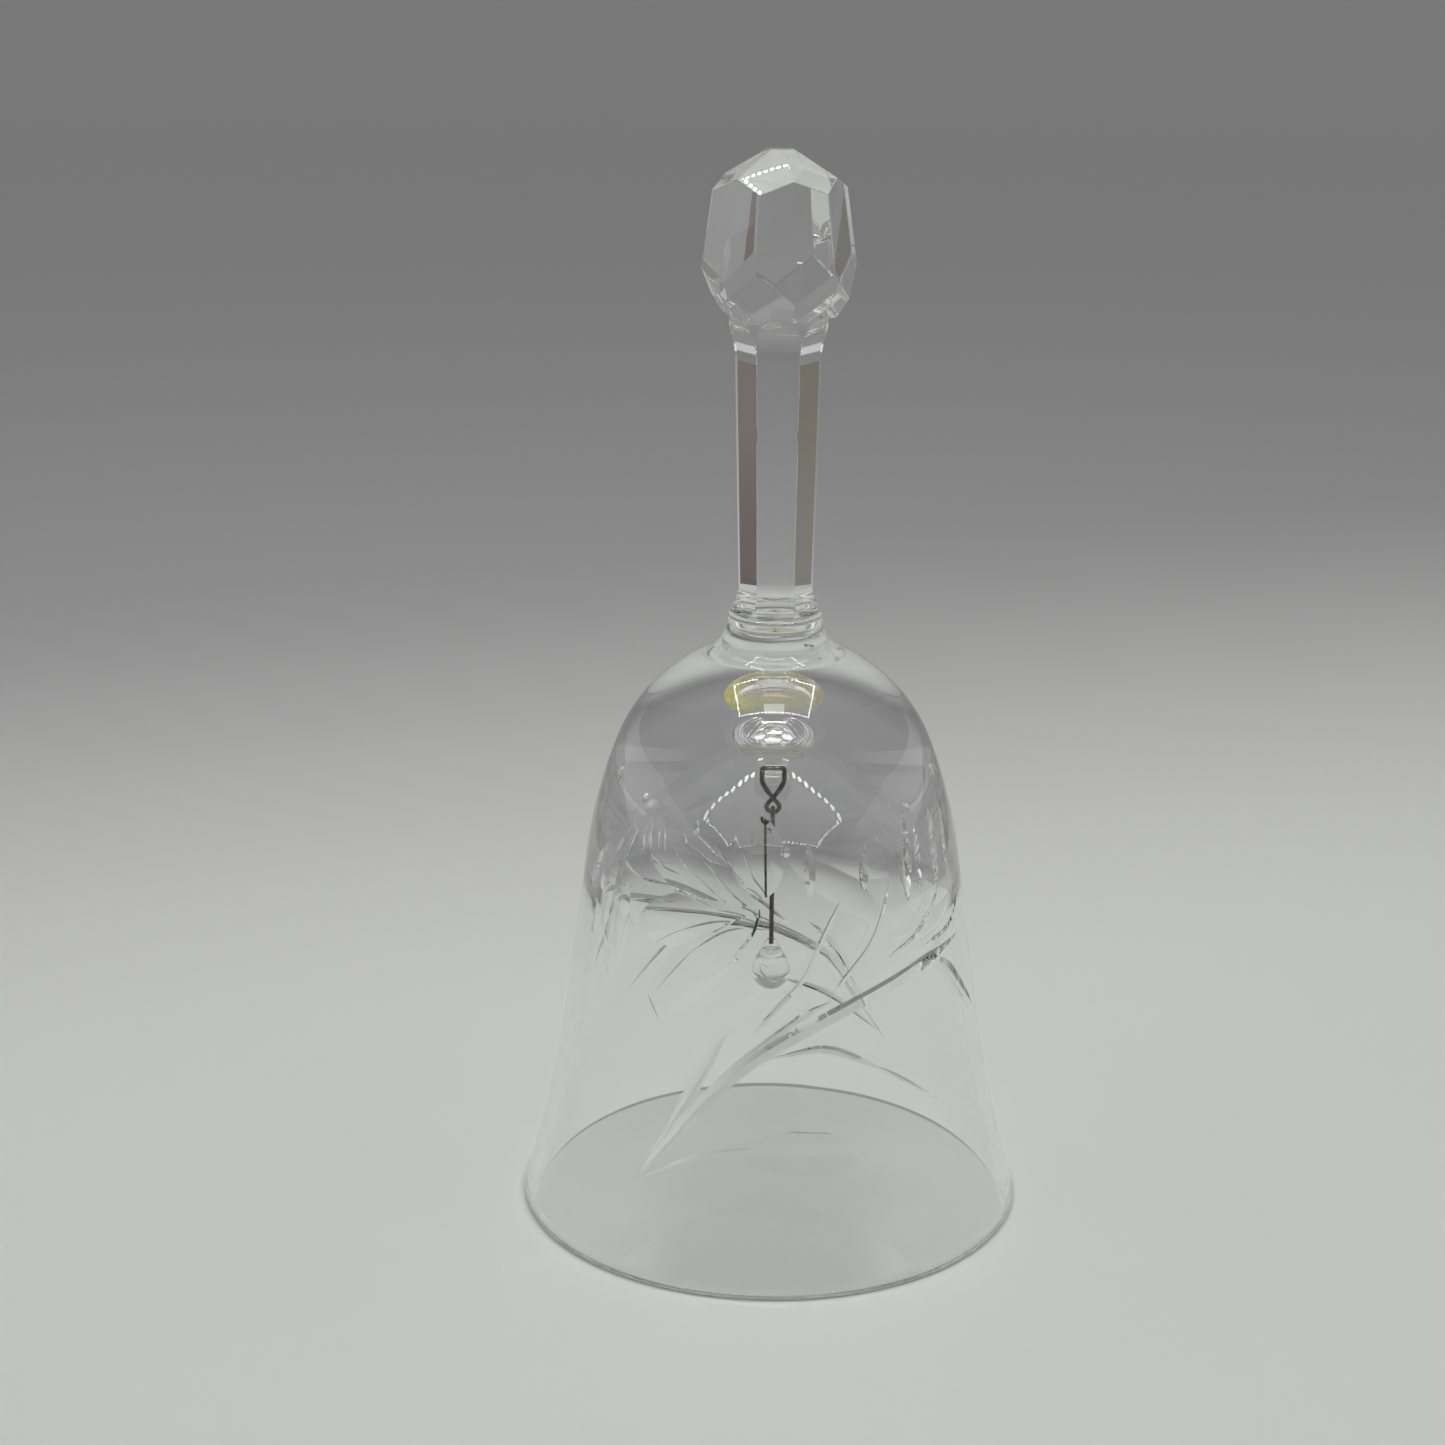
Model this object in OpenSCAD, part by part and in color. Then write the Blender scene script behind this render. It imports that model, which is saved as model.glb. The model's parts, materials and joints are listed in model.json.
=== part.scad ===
// Cut-glass hand bell: a blown bowl with a flared lip, a collar, a cut stem and knob,
// and a clapper that hangs from a pierced button glued under the crown.
// Units are millimetres. The bell stands on its lip at z = 0, with its axis on Z.

/* [Bowl] */
// Outer diameter of the lip
rim_d = 80; // [70:0.5:95]
// Height at which the lip starts to flare
flare_h = 32; // [26:0.5:38]
// Outer diameter where the flare starts, as a share of the lip's
waist_share = 0.824; // [0.8:0.002:0.836]
// Height at which the side bends into the shoulder
shoulder_h = 58; // [52:0.5:61]
// Outer diameter where the shoulder starts, as a share of the lip's
shoulder_share = 0.734; // [0.72:0.002:0.76]
// Bend radius of the shoulder
shoulder_rad = 80; // [70:1:110]
// Height at which the shoulder rounds over into the crown
crown_h = 76; // [72:0.5:78]
// Bend radius of the crown
crown_rad = 27; // [25:0.5:30]
// Diameter that the neck's fillet runs up to
neck_d = 13.6; // [12:0.1:15]
// Fillet between the crown and the neck
neck_fillet = 8; // [6:0.25:9]
// Height of the fillet's upper end that the collar stands in for
neck_cut = 2.8; // [2:0.1:3.2]
// Thickness of the bowl's wall
wall = 2.3; // [1.6:0.1:3.2]
// Width of the ground flat under the lip
rim_flat = 0.7; // [0.3:0.1:1.2]
// Height of the hollow on the axis
cavity_h = 79.5; // [77:0.5:81]
// Dome radius of the hollow under the crown
cavity_dome_rad = 23; // [20:0.5:24]
// Height at which the hollow's side bends into its shoulder
cavity_side_h = 51; // [47:0.5:53]

/* [Ornament] */
// Sprays cut round the bowl
sprays = 2; // [1:1:2]
// Depth of the deepest mitre cuts
mitre_depth = 0.7; // [0.4:0.05:0.8]
// Angle of a mitre's sides from its middle plane
mitre_angle = 57; // [52:1:60]
// Depth of the deepest petal cuts
petal_depth = 0.5; // [0.4:0.05:0.6]

/* [Collar] */
// Diameter of the collar between the bowl and the stem
collar_d = 14.7; // [12:0.1:18]
// Thickness of the collar
collar_t = 2.2; // [1.6:0.1:3.5]
// Rounding of the collar's edge
collar_round = 0.8; // [0.3:0.1:1]

/* [Stem] */
// Length of the stem from the collar to the knob
stem_len = 45.8; // [36:0.2:56]
// Number of facets round the stem
stem_facets = 6; // [5:1:8]
// Width across two opposite flats at the foot of the stem
stem_foot_flats = 9.85; // [8.5:0.05:11]
// Width across two opposite flats at the head of the stem
stem_head_flats = 11.2; // [10:0.05:12]
// Length of the run-out of a facet at the foot
foot_runout = 4; // [3:0.1:6]
// Radius of the grinding wheel at the foot
foot_wheel_rad = 6; // [5:0.5:9]
// Length of the run-out of a facet at the head
head_runout = 7; // [5:0.1:8]
// Radius of the grinding wheel at the head
head_wheel_rad = 14; // [13:0.5:20]
// Diameter of the stem's round foot
stem_foot_d = 13.7; // [12:0.1:14.5]
// Diameter of the uncut stem just above its foot
stem_low_d = 12.5; // [12:0.1:13.5]
// Diameter of the uncut stem just below the knob
stem_high_d = 14.2; // [13.6:0.1:15]
// Height of the flare at the foot of the stem
stem_flare_h = 2.6; // [1.6:0.1:4]

/* [Knob] */
// Number of facets in each row of the knob
knob_facets = 6; // [5:1:8]
// Turn of the knob about the stem
knob_turn = -17; // [-30:1:30]
// Height of the knob above the stem
knob_h = 24.3; // [20:0.1:28]
// Diameter over the corners at the widest place
knob_wide_d = 23.8; // [22:0.1:26]
// Height of the widest place above the stem
knob_wide_h = 7.2; // [5.5:0.1:8.5]
// Diameter over the corners under the top facets
knob_top_d = 20.5; // [18:0.1:23]
// Height of those top corners above the stem
knob_top_h = 18.6; // [16:0.1:19.5]
// Slope of the top facets
top_slope = 34; // [30:1:38]
// Angle of the lower facets from upright
low_slope = 30; // [24:1:34]

/* [Hanger] */
// Diameter of the glued button
button_d = 9.4; // [8:0.1:12]
// Thickness of the button
button_t = 1.2; // [1:0.1:1.8]
// Diameter of the layer of adhesive
glue_d = 11.4; // [9.8:0.1:13]
// Thickness of the adhesive on the axis
glue_t = 1.2; // [1:0.05:1.5]
// Length of the lug below the button, down to its hole
lug_drop = 1.5; // [1.2:0.1:2.5]
// Thickness of the lug along its hole
lug_t = 2.4; // [2:0.1:3.5]
// Width of the lug across its hole
lug_w = 2.4; // [2.2:0.1:3]
// Diameter of the wire
wire_d = 0.7; // [0.5:0.05:0.9]
// Radius of the hanger's eye and of the clapper wire's ring, at the wire's middle
eye_rad = 0.95; // [0.9:0.05:1.2]
// Twist of each half of the hanger loop, which lets its legs pass
loop_twist = 1.2; // [0.8:0.1:2]
// Overlap of the wire's two ends at the bottom of the eye
eye_lap = 25; // [10:1:40]
// Radius of the wire's tight bends
bend_rad = 0.5; // [0.45:0.05:0.6]
// Radius at which the hanger's legs turn inwards below the lug
turn_rad = 0.8; // [0.6:0.1:1.2]

/* [Clapper] */
// Length of the clapper wire between its two pivots
clapper_len = 26.3; // [18:0.1:27]
// Length of the lower loop of the clapper wire
low_loop_len = 2.9; // [2.7:0.1:4]
// Diameter of the glass drop
drop_d = 6.2; // [5:0.1:7.5]
// Length of the drop below its hole
drop_len = 9.1; // [8:0.1:11]
// Thickness of the drop's pierced neck
drop_neck_t = 1; // [0.8:0.05:1.2]
// Radius of the neck's rounded top
drop_neck_rad = 0.95; // [0.85:0.05:1.1]

/* [Fits] */
// Radial clearance of a wire in its hole
pin_clear = 0.06; // [0.03:0.01:0.1]
// Clearance between two linked wires, and beside a lug
link_clear = 0.12; // [0.08:0.01:0.2]
// Clearance between the adhesive and the hollow's dome
glue_clear = 0.05; // [0.02:0.01:0.1]

/* [Hidden] */
$fn = 96;

// Bowl: a lip arc, a straight side, a shoulder arc, a crown arc and a neck fillet, all tangent
rim_r = rim_d / 2;
waist_r = waist_share * rim_r;
shoulder_r = shoulder_share * rim_r;
neck_r = neck_d / 2;
side_tilt = atan((waist_r - shoulder_r) / (shoulder_h - flare_h));
side_out = [cos(side_tilt), sin(side_tilt)];
waist_pt = [waist_r, flare_h];
shoulder_pt = [shoulder_r, shoulder_h];
lip_round = (wall - rim_flat) / 2;
lip_pt = [rim_r, lip_round];
arc_step = 1.5;
lip_chord = lip_pt - waist_pt;
flare_rad = (lip_chord * lip_chord) / (2 * (lip_chord * side_out));
flare_c = waist_pt + flare_rad * side_out;
shoulder_c = shoulder_pt - shoulder_rad * side_out;
crown_tilt = asin(side_out[1] + (crown_h - shoulder_h) / shoulder_rad);
crown_out = [cos(crown_tilt), sin(crown_tilt)];
crown_pt = shoulder_c + shoulder_rad * crown_out;
crown_c = crown_pt - crown_rad * crown_out;
fillet_x = neck_r + neck_fillet;
fillet_c = [
  fillet_x,
  crown_c[1] + sqrt((crown_rad + neck_fillet) ^ 2 - (fillet_x - crown_c[0]) ^ 2)
];
bowl_h = fillet_c[1] - neck_cut;

// Hollow: the same lip and side moved in by the wall, a shoulder arc and a dome, all tangent
inner_waist = waist_pt - wall * side_out;
dome_c = [0, cavity_h - cavity_dome_rad];
side_end = inner_waist + (cavity_side_h - inner_waist[1]) * [-tan(side_tilt), 1];
side_gap = side_end - dome_c;
inner_rad = (side_gap * side_gap - cavity_dome_rad ^ 2) / (2 * (side_gap * side_out - cavity_dome_rad));
inner_c = side_end - inner_rad * side_out;
lip_heading = 360 + atan2(lip_pt[1] - flare_c[1], lip_pt[0] - flare_c[0]);
inner_lip_rise = asin((flare_c[1] - lip_round) / (flare_rad + wall));
inner_lip_heading = 180 + inner_lip_rise;
inner_lip_x = flare_c[0] - (flare_rad + wall) * cos(inner_lip_rise);

// Collar, stem and knob stand on each other
collar_z = bowl_h;
stem_z = collar_z + collar_t;
knob_z = stem_z + stem_len;
top_z = knob_z + knob_h;

// Hanger: adhesive, button and lug hang under the dome
button_z = cavity_h - glue_t - button_t;
lug_hole_z = button_z - lug_drop;
wire_r = wire_d / 2;
pin_hole_d = wire_d + 2 * pin_clear;
loop_x = lug_t / 2 + link_clear + wire_r;
// Each leg turns in below the lug, falls 4 for every 3 that it runs in, and ends on the eye
leg_lean = atan2(3, 4);
turn_x = loop_x - turn_rad;
turn_z = lug_w / 2 + link_clear;
leg_len = (turn_x + (turn_rad + eye_rad) * cos(leg_lean)) / sin(leg_lean);
eye_fall = (turn_rad + eye_rad) * sin(leg_lean) + leg_len * cos(leg_lean);
eye_z = lug_hole_z - turn_z - eye_fall;

// Clapper: its ring hangs in the eye, and the drop hangs in its lower loop
ring_pivot_z = eye_z - eye_rad + wire_d + link_clear;
ring_z = ring_pivot_z - eye_rad;
drop_pivot_z = ring_pivot_z - clapper_len;
low_loop_y = drop_neck_t / 2 + link_clear + wire_r;
low_loop_top_z = drop_pivot_z + low_loop_len - wire_d;
drop_r = drop_d / 2;
drop_c_z = drop_pivot_z - drop_len + drop_r;
overlap = 0.01;

// Wire along a straight line from p to q
module rod(p, q) {
  v = q - p;
  translate(p)
    rotate([0, acos(v[2] / norm(v)), atan2(v[1], v[0])])
      cylinder(h = norm(v), d = wire_d);
}

// Wire bent round the Y axis, from angle a to angle b above the X axis
module bend(rad, a, b) {
  rotate([90, 0, 0])
    rotate([0, 0, a])
      rotate_extrude(angle = b - a)
        translate([rad, 0])
          circle(d = wire_d, $fn = 48);
}

// Closed ring of wire in the XZ plane
module ring(rad) {
  rotate([90, 0, 0])
    rotate_extrude()
      translate([rad, 0])
        circle(d = wire_d, $fn = 48);
}

// Points of an arc from angle a to angle b
function arc(c, r, a, b) =
  let (n = max(4, ceil(abs(b - a) * PI / 180 * r / arc_step)))
  [for (i = [0 : n]) c + r * [cos(a + (b - a) * i / n), sin(a + (b - a) * i / n)]];

// Direction of p seen from c
function heading(c, p) = atan2(p[1] - c[1], p[0] - c[0]);

// Section of the bowl: up the outside from the lip to the neck, and down through the hollow
module bowl_section() {
  polygon(concat(
    arc([rim_r - lip_round, lip_round], lip_round, -90, 0),
    arc(flare_c, flare_rad, lip_heading, 180 + side_tilt),
    arc(shoulder_c, shoulder_rad, side_tilt, crown_tilt),
    arc(crown_c, crown_rad, crown_tilt, heading(crown_c, fillet_c)),
    arc(fillet_c, neck_fillet, heading(fillet_c, crown_c) + 360, 180 + asin(neck_cut / neck_fillet)),
    [[0, bowl_h]],
    arc(dome_c, cavity_dome_rad, 90, heading(inner_c, dome_c)),
    arc(inner_c, inner_rad, heading(inner_c, dome_c), side_tilt),
    arc(flare_c, flare_rad + wall, 180 + side_tilt, inner_lip_heading),
    arc([inner_lip_x + lip_round, lip_round], lip_round, 180, 270)
  ));
}

// One spray: each cut runs from a turn and height to another turn and height. Turns are in degrees
// from the spray's middle, heights are shares of the crown's. The fifth number is the cut's share of
// the full depth, and a petal's sixth is its width.
MITRES = [
  [-37, 0.168, -16, 0.389, 1],
  [-22, 0.334, 2, 0.505, 1],
  [-4, 0.474, 24, 0.579, 1],
  [17, 0.558, 48, 0.622, 0.85],
  [42, 0.613, 72, 0.642, 0.8],
  [-29, 0.283, -10.7, 0.545, 1],
  [28.2, 0.797, 30, 0.889, 0.85],
  [44.5, 0.758, 47.2, 0.932, 0.95],
  [58.5, 0.75, 61.8, 0.929, 0.95],
  [11.5, 0.797, 11.3, 0.903, 0.85]
];
PETALS = [
  [-3, 0.766, -42, 0.729, 1, 9],
  [-4.5, 0.792, -50, 0.916, 1, 9.5],
  [-1, 0.803, -8, 0.953, 0.95, 8],
  [-4.5, 0.737, -36, 0.592, 1, 8.5],
  [-58, 0.868, -64, 0.632, 0.9, 8],
  [-52, 0.816, -53, 0.579, 0.9, 6.5],
  [-6, 0.289, 24, 0.283, 0.7, 7]
];

// Outer radius of the bowl, the rise of its outward direction and its bend along the side at height z
function bowl_x(z) =
  z < flare_h ? flare_c[0] - sqrt(flare_rad ^ 2 - (flare_c[1] - z) ^ 2) :
  z < shoulder_h ? waist_r - (z - flare_h) * tan(side_tilt) :
  z < crown_h ? shoulder_c[0] + sqrt(shoulder_rad ^ 2 - (z - shoulder_c[1]) ^ 2) :
  crown_c[0] + sqrt(crown_rad ^ 2 - (z - crown_c[1]) ^ 2);
function bowl_rise(z) =
  z < flare_h ? asin((flare_c[1] - z) / flare_rad) :
  z < shoulder_h ? side_tilt :
  z < crown_h ? asin((z - shoulder_c[1]) / shoulder_rad) :
  asin((z - crown_c[1]) / crown_rad);
function bowl_bend(z) =
  z < flare_h ? -1 / flare_rad : z < shoulder_h ? 0 : z < crown_h ? 1 / shoulder_rad : 1 / crown_rad;

// Arc of the edge of a mitre wheel of radius rad, about as long as reach, with its middle on the -X side.
// A negative radius stands for a ring that cuts with its inside, with its middle on the +X side.
module mitre_wheel(rad, depth, reach) {
  rise = depth + 0.6;
  half = rise * tan(mitre_angle);
  back = abs(rad) - sign(rad) * rise;
  span = 2 * asin(min(0.9, (reach / 2 + 1) / abs(rad)));
  rotate([0, 0, (rad > 0 ? 180 : 0) - span / 2])
    rotate_extrude(angle = span)
      polygon([[abs(rad), 0], [back, half], [back, -half]]);
}

// Arc of the round edge of a petal wheel
module petal_wheel(rad, edge, reach) {
  span = 2 * asin(min(0.9, (reach / 2 + 1) / abs(rad)));
  rotate([0, 0, (rad > 0 ? 180 : 0) - span / 2])
    rotate_extrude(angle = span)
      translate([abs(rad) - sign(rad) * edge, 0])
        circle(r = edge);
}

// One cut: a wheel sunk into the side as deep and as far as the cut is deep and long
module wheel_cut(cut, full) {
  z = (cut[1] + cut[3]) / 2 * crown_h;
  x = bowl_x(z);
  run = [x * (cut[2] - cut[0]) * PI / 180, (cut[3] - cut[1]) * crown_h / cos(bowl_rise(z))];
  lean = atan2(run[0], run[1]);
  round_bend = cos(bowl_rise(z)) / x;
  bend_along = bowl_bend(z) * cos(lean) ^ 2 + round_bend * sin(lean) ^ 2;
  bend_across = bowl_bend(z) * sin(lean) ^ 2 + round_bend * cos(lean) ^ 2;
  depth = full * cut[4];
  rad = 1 / (8 * depth / (run * run) - bend_along);
  rotate([0, 0, (cut[0] + cut[2]) / 2 - 90])
    translate([x, 0, z])
      rotate([0, -bowl_rise(z), 0])
        rotate([-lean, 0, 0])
          translate([rad - depth, 0, 0])
            rotate([90, 0, 0])
              if (len(cut) > 5) {
                petal_wheel(rad, 1 / (8 * depth / cut[5] ^ 2 - bend_across), norm(run));
              } else {
                mitre_wheel(rad, depth, norm(run));
              }
}

module bell_bowl() {
  color("aliceblue", 0.4)
    difference() {
      rotate_extrude($fn = 180)
        bowl_section();
      for (i = [0 : sprays - 1])
        rotate([0, 0, 360 * i / sprays]) {
          for (cut = PETALS)
            wheel_cut(cut, petal_depth);
          for (cut = MITRES)
            wheel_cut(cut, mitre_depth);
        }
    }
}

module collar() {
  edge_x = collar_d / 2 - collar_round;
  color("aliceblue", 0.5)
    translate([0, 0, collar_z])
      rotate_extrude() {
        square([edge_x, collar_t]);
        translate([0, collar_round])
          square([collar_d / 2, collar_t - 2 * collar_round]);
        translate([edge_x, collar_round])
          circle(r = collar_round);
        translate([edge_x, collar_t - collar_round])
          circle(r = collar_round);
      }
}

// Round stem before its facets are ground, from the collar into the knob
module stem_blank() {
  foot_r = stem_foot_d / 2;
  low_r = stem_low_d / 2;
  flare_w = foot_r - low_r;
  sweep = (stem_flare_h ^ 2 + flare_w ^ 2) / (2 * flare_w);
  translate([0, 0, stem_z])
    rotate_extrude()
      difference() {
        polygon([
          [0, 0], [foot_r, 0], [foot_r, stem_flare_h], [low_r, stem_flare_h],
          [stem_high_d / 2, stem_len - head_runout / 2],
          [stem_high_d / 2 + 1, stem_len + 1], [0, stem_len + 1]
        ]);
        translate([low_r + sweep, stem_flare_h])
          intersection() {
            circle(r = sweep, $fn = 180);
            translate([-sweep, -stem_flare_h - 1])
              square([sweep, stem_flare_h + 1]);
          }
      }
}

// Glass that the wheel takes off for one facet: a long flat with a round run-out at each end
module facet_cut() {
  foot = [stem_foot_flats / 2, stem_z + foot_runout];
  head = [stem_head_flats / 2, knob_z - head_runout];
  far = foot_wheel_rad + head_wheel_rad + stem_high_d;
  rotate([90, 0, 0])
    linear_extrude(height = stem_high_d * 2, center = true) {
      polygon([foot, head, [far, head[1]], [far, foot[1]]]);
      intersection() {
        translate([foot[0] + foot_wheel_rad, foot[1]])
          circle(r = foot_wheel_rad, $fn = 180);
        translate([0, foot[1] - foot_wheel_rad])
          square([foot[0] + foot_wheel_rad, foot_wheel_rad + overlap]);
      }
      intersection() {
        translate([head[0] + head_wheel_rad, head[1]])
          circle(r = head_wheel_rad, $fn = 180);
        translate([0, head[1] - overlap])
          square([head[0] + head_wheel_rad, knob_z + overlap - head[1]]);
      }
    }
}

// Half space below a facet: the plane leans by tilt from upright and holds the point (r, z)
module facet_side(r, z, tilt) {
  size = 4 * knob_wide_d;
  translate([r, 0, z])
    rotate([0, -tilt, 0])
      translate([-size, -size / 2, -size / 2])
        cube(size);
}

// Knob: a row of leaning side facets, and rows of top and lower facets between them
module knob() {
  step = 360 / knob_facets;
  flat = cos(step / 2);
  lean = atan((knob_wide_d - knob_top_d) / 2 * flat / (knob_top_h - knob_wide_h));
  translate([0, 0, knob_z])
    intersection() {
      translate([0, 0, -overlap])
        cylinder(h = knob_h + overlap, d = 2 * knob_wide_d);
      intersection_for (i = [0 : knob_facets - 1])
        rotate([0, 0, knob_turn - 90 + step * (i + 0.5)])
          facet_side(knob_wide_d / 2 * flat, knob_wide_h, lean);
      intersection_for (i = [0 : knob_facets - 1])
        rotate([0, 0, knob_turn - 90 + step * i])
          intersection() {
            facet_side(knob_top_d / 2, knob_top_h, 90 - top_slope);
            facet_side(knob_wide_d / 2, knob_wide_h, -low_slope);
          }
    }
}

module handle() {
  step = 360 / stem_facets;
  color("aliceblue", 0.5)
    union() {
      difference() {
        stem_blank();
        for (i = [0 : stem_facets - 1])
          rotate([0, 0, step * i - 90])
            facet_cut();
        translate([0, 0, knob_z + overlap])
          cylinder(h = stem_len, r = knob_wide_d);
      }
      knob();
    }
}

module adhesive() {
  top_rad = cavity_dome_rad - glue_clear;
  edge = acos(glue_d / 2 / top_rad);
  color("goldenrod", 0.7)
    rotate_extrude()
      polygon(concat(
        arc(dome_c, top_rad, edge, 90),
        [[0, cavity_h - glue_t], [glue_d / 2, cavity_h - glue_t]]
      ));
}

module hanger_button() {
  color("aliceblue", 0.5)
    difference() {
      union() {
        translate([0, 0, button_z])
          cylinder(h = button_t, d = button_d);
        translate([0, 0, lug_hole_z])
          rotate([90, 0, 90])
            linear_extrude(height = lug_t, center = true) {
              circle(d = lug_w);
              translate([-lug_w / 2, 0])
                square([lug_w, lug_drop + overlap]);
            }
      }
      translate([0, 0, lug_hole_z])
        rotate([0, 90, 0])
          cylinder(h = lug_t + 2, d = pin_hole_d, center = true);
    }
}

// One half of the hanger's figure of eight: half the pin, a bend down past the lug, a leg that
// crosses the other leg, and the far half of the eye
module loop_half() {
  translate([0, 0, lug_hole_z])
    rotate([loop_twist, 0, 0]) {
      rotate([0, 90, 0])
        cylinder(h = loop_x - bend_rad, d = wire_d);
      translate([loop_x - bend_rad, 0, -bend_rad])
        bend(bend_rad, 0, 90);
      translate([loop_x, 0, -turn_z])
        cylinder(h = turn_z - bend_rad, d = wire_d);
      translate([turn_x, 0, -turn_z])
        rotate([0, leg_lean, 0]) {
          bend(turn_rad, 0, leg_lean);
          translate([turn_rad, 0, -leg_len])
            cylinder(h = leg_len, d = wire_d);
          translate([turn_rad + eye_rad, 0, -leg_len])
            bend(eye_rad, 180, 270 + leg_lean + eye_lap);
        }
    }
}

module hanger_loop() {
  color("dimgray")
    for (turn = [0, 180])
      rotate([0, 0, turn])
        loop_half();
}

module clapper_wire() {
  color("dimgray")
    rotate([0, 0, 90])
      union() {
        translate([0, 0, ring_z])
          ring(eye_rad);
        rod([0, 0, ring_z - eye_rad], [0, 0, low_loop_top_z]);
        translate([0, 0, low_loop_top_z - low_loop_y])
          bend(low_loop_y, 0, 180);
        rod([bend_rad - low_loop_y, 0, drop_pivot_z], [low_loop_y - bend_rad, 0, drop_pivot_z]);
        for (side = [0, 1])
          mirror([side, 0, 0]) {
            translate([low_loop_y - bend_rad, 0, drop_pivot_z + bend_rad])
              bend(bend_rad, -90, 0);
            rod(
              [low_loop_y, 0, drop_pivot_z + bend_rad],
              [low_loop_y, 0, low_loop_top_z - low_loop_y]
            );
          }
      }
}

// Outline of the drop: a ball, the cone that is tangent to it, and a rounded tip
module drop_outline() {
  span = drop_pivot_z - drop_c_z;
  lean = asin((drop_r - drop_neck_rad) / span);
  out = [cos(lean), sin(lean)];
  intersection() {
    union() {
      translate([0, drop_c_z])
        circle(r = drop_r);
      polygon([
        [0, drop_c_z], [0, drop_c_z] + drop_r * out,
        [0, drop_pivot_z] + drop_neck_rad * out, [0, drop_pivot_z]
      ]);
      translate([0, drop_pivot_z])
        circle(r = drop_neck_rad);
    }
    translate([0, drop_c_z - drop_r])
      square([drop_r, drop_len + 2 * drop_neck_rad]);
  }
}

module clapper_drop() {
  cheek_z = drop_pivot_z - wire_r - link_clear - drop_neck_rad;
  color("aliceblue", 0.6)
    difference() {
      rotate_extrude()
        drop_outline();
      for (side = [-1, 1])
        translate([0, side * (drop_neck_t / 2 + drop_r), cheek_z + drop_len / 2])
          cube([drop_d, 2 * drop_r, drop_len], center = true);
      translate([0, 0, drop_pivot_z])
        rotate([90, 0, 0])
          cylinder(h = drop_neck_t + 2, d = pin_hole_d, center = true);
    }
}

bell_bowl();
collar();
handle();
adhesive();
hanger_button();
hanger_loop();
clapper_wire();
clapper_drop();
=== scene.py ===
"""Cut-glass hand bell.

Builds the looks of the bell round its packed frame: the cut bowl, the collar, the handle, the yellowed
adhesive, the button, the two wires and the drop, and a plain stage to see them on. Pieces are modelled in
millimetres and scaled to metres when they are finished.
"""

import json
import math
from types import SimpleNamespace

import bmesh
import bpy
from bpy.props import FloatProperty, FloatVectorProperty, IntProperty, PointerProperty
from mathutils import Matrix, Vector

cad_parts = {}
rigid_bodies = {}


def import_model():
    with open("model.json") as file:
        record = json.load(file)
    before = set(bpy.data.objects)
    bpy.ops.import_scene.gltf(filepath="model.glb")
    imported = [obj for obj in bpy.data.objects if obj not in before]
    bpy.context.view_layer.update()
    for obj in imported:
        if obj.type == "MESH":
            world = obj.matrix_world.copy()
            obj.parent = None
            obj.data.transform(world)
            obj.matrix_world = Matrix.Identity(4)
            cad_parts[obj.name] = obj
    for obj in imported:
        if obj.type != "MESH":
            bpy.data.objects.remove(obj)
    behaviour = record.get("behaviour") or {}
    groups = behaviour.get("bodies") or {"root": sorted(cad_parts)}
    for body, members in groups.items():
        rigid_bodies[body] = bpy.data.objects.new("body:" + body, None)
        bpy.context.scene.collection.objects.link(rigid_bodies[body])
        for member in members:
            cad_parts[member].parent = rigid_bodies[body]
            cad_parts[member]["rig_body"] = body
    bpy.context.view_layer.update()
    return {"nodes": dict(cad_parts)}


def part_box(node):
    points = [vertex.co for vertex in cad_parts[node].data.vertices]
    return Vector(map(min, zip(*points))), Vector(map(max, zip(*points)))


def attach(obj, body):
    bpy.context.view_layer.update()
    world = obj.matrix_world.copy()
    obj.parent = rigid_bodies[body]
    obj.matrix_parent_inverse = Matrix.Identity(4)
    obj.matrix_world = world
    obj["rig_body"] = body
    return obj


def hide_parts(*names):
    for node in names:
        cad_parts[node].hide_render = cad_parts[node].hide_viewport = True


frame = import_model()

bl_info = {
    "name": "Cut-Glass Hand Bell",
    "version": (1, 0, 0),
    "blender": (4, 5, 0),
    "location": "View3D > Sidebar > Bell",
    "description": "Builds a cut-glass hand bell with a hanging clapper on its packed frame",
    "category": "Add Mesh",
}

# A millimetre in metres
MM = 0.001

# Points closer than this are one point, and heights closer than the level are the same, in millimetres
TOUCH = 1e-4
LEVEL = 1e-3

# Upright part of a normal from which a face counts as flat
FLAT = 0.9999

# Segments of a full turn
ROUND = 192
STEM_ROUND = 144
DISC_ROUND = 96
DROP_ROUND = 72
HOLE_ROUND = 48
WIRE_ROUND = 20


def low(node):
    """Lowest corner of a node of the frame, in millimetres."""
    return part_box(node)[0] / MM


def high(node):
    """Highest corner of a node of the frame, in millimetres."""
    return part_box(node)[1] / MM


# Properties: the sizes and colours that a user would change


def length(name, millimetres, description):
    """A length property, given in millimetres."""
    return FloatProperty(
        name=name, description=description, default=millimetres * MM, unit="LENGTH", precision=5
    )


def angle(name, degrees, description):
    """An angle property, given in degrees."""
    return FloatProperty(
        name=name, description=description, default=math.radians(degrees), subtype="ANGLE"
    )


def colour(name, value, description):
    """A colour property without alpha."""
    return FloatVectorProperty(
        name=name, description=description, default=value, size=3, min=0, max=1, subtype="COLOR"
    )


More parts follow.
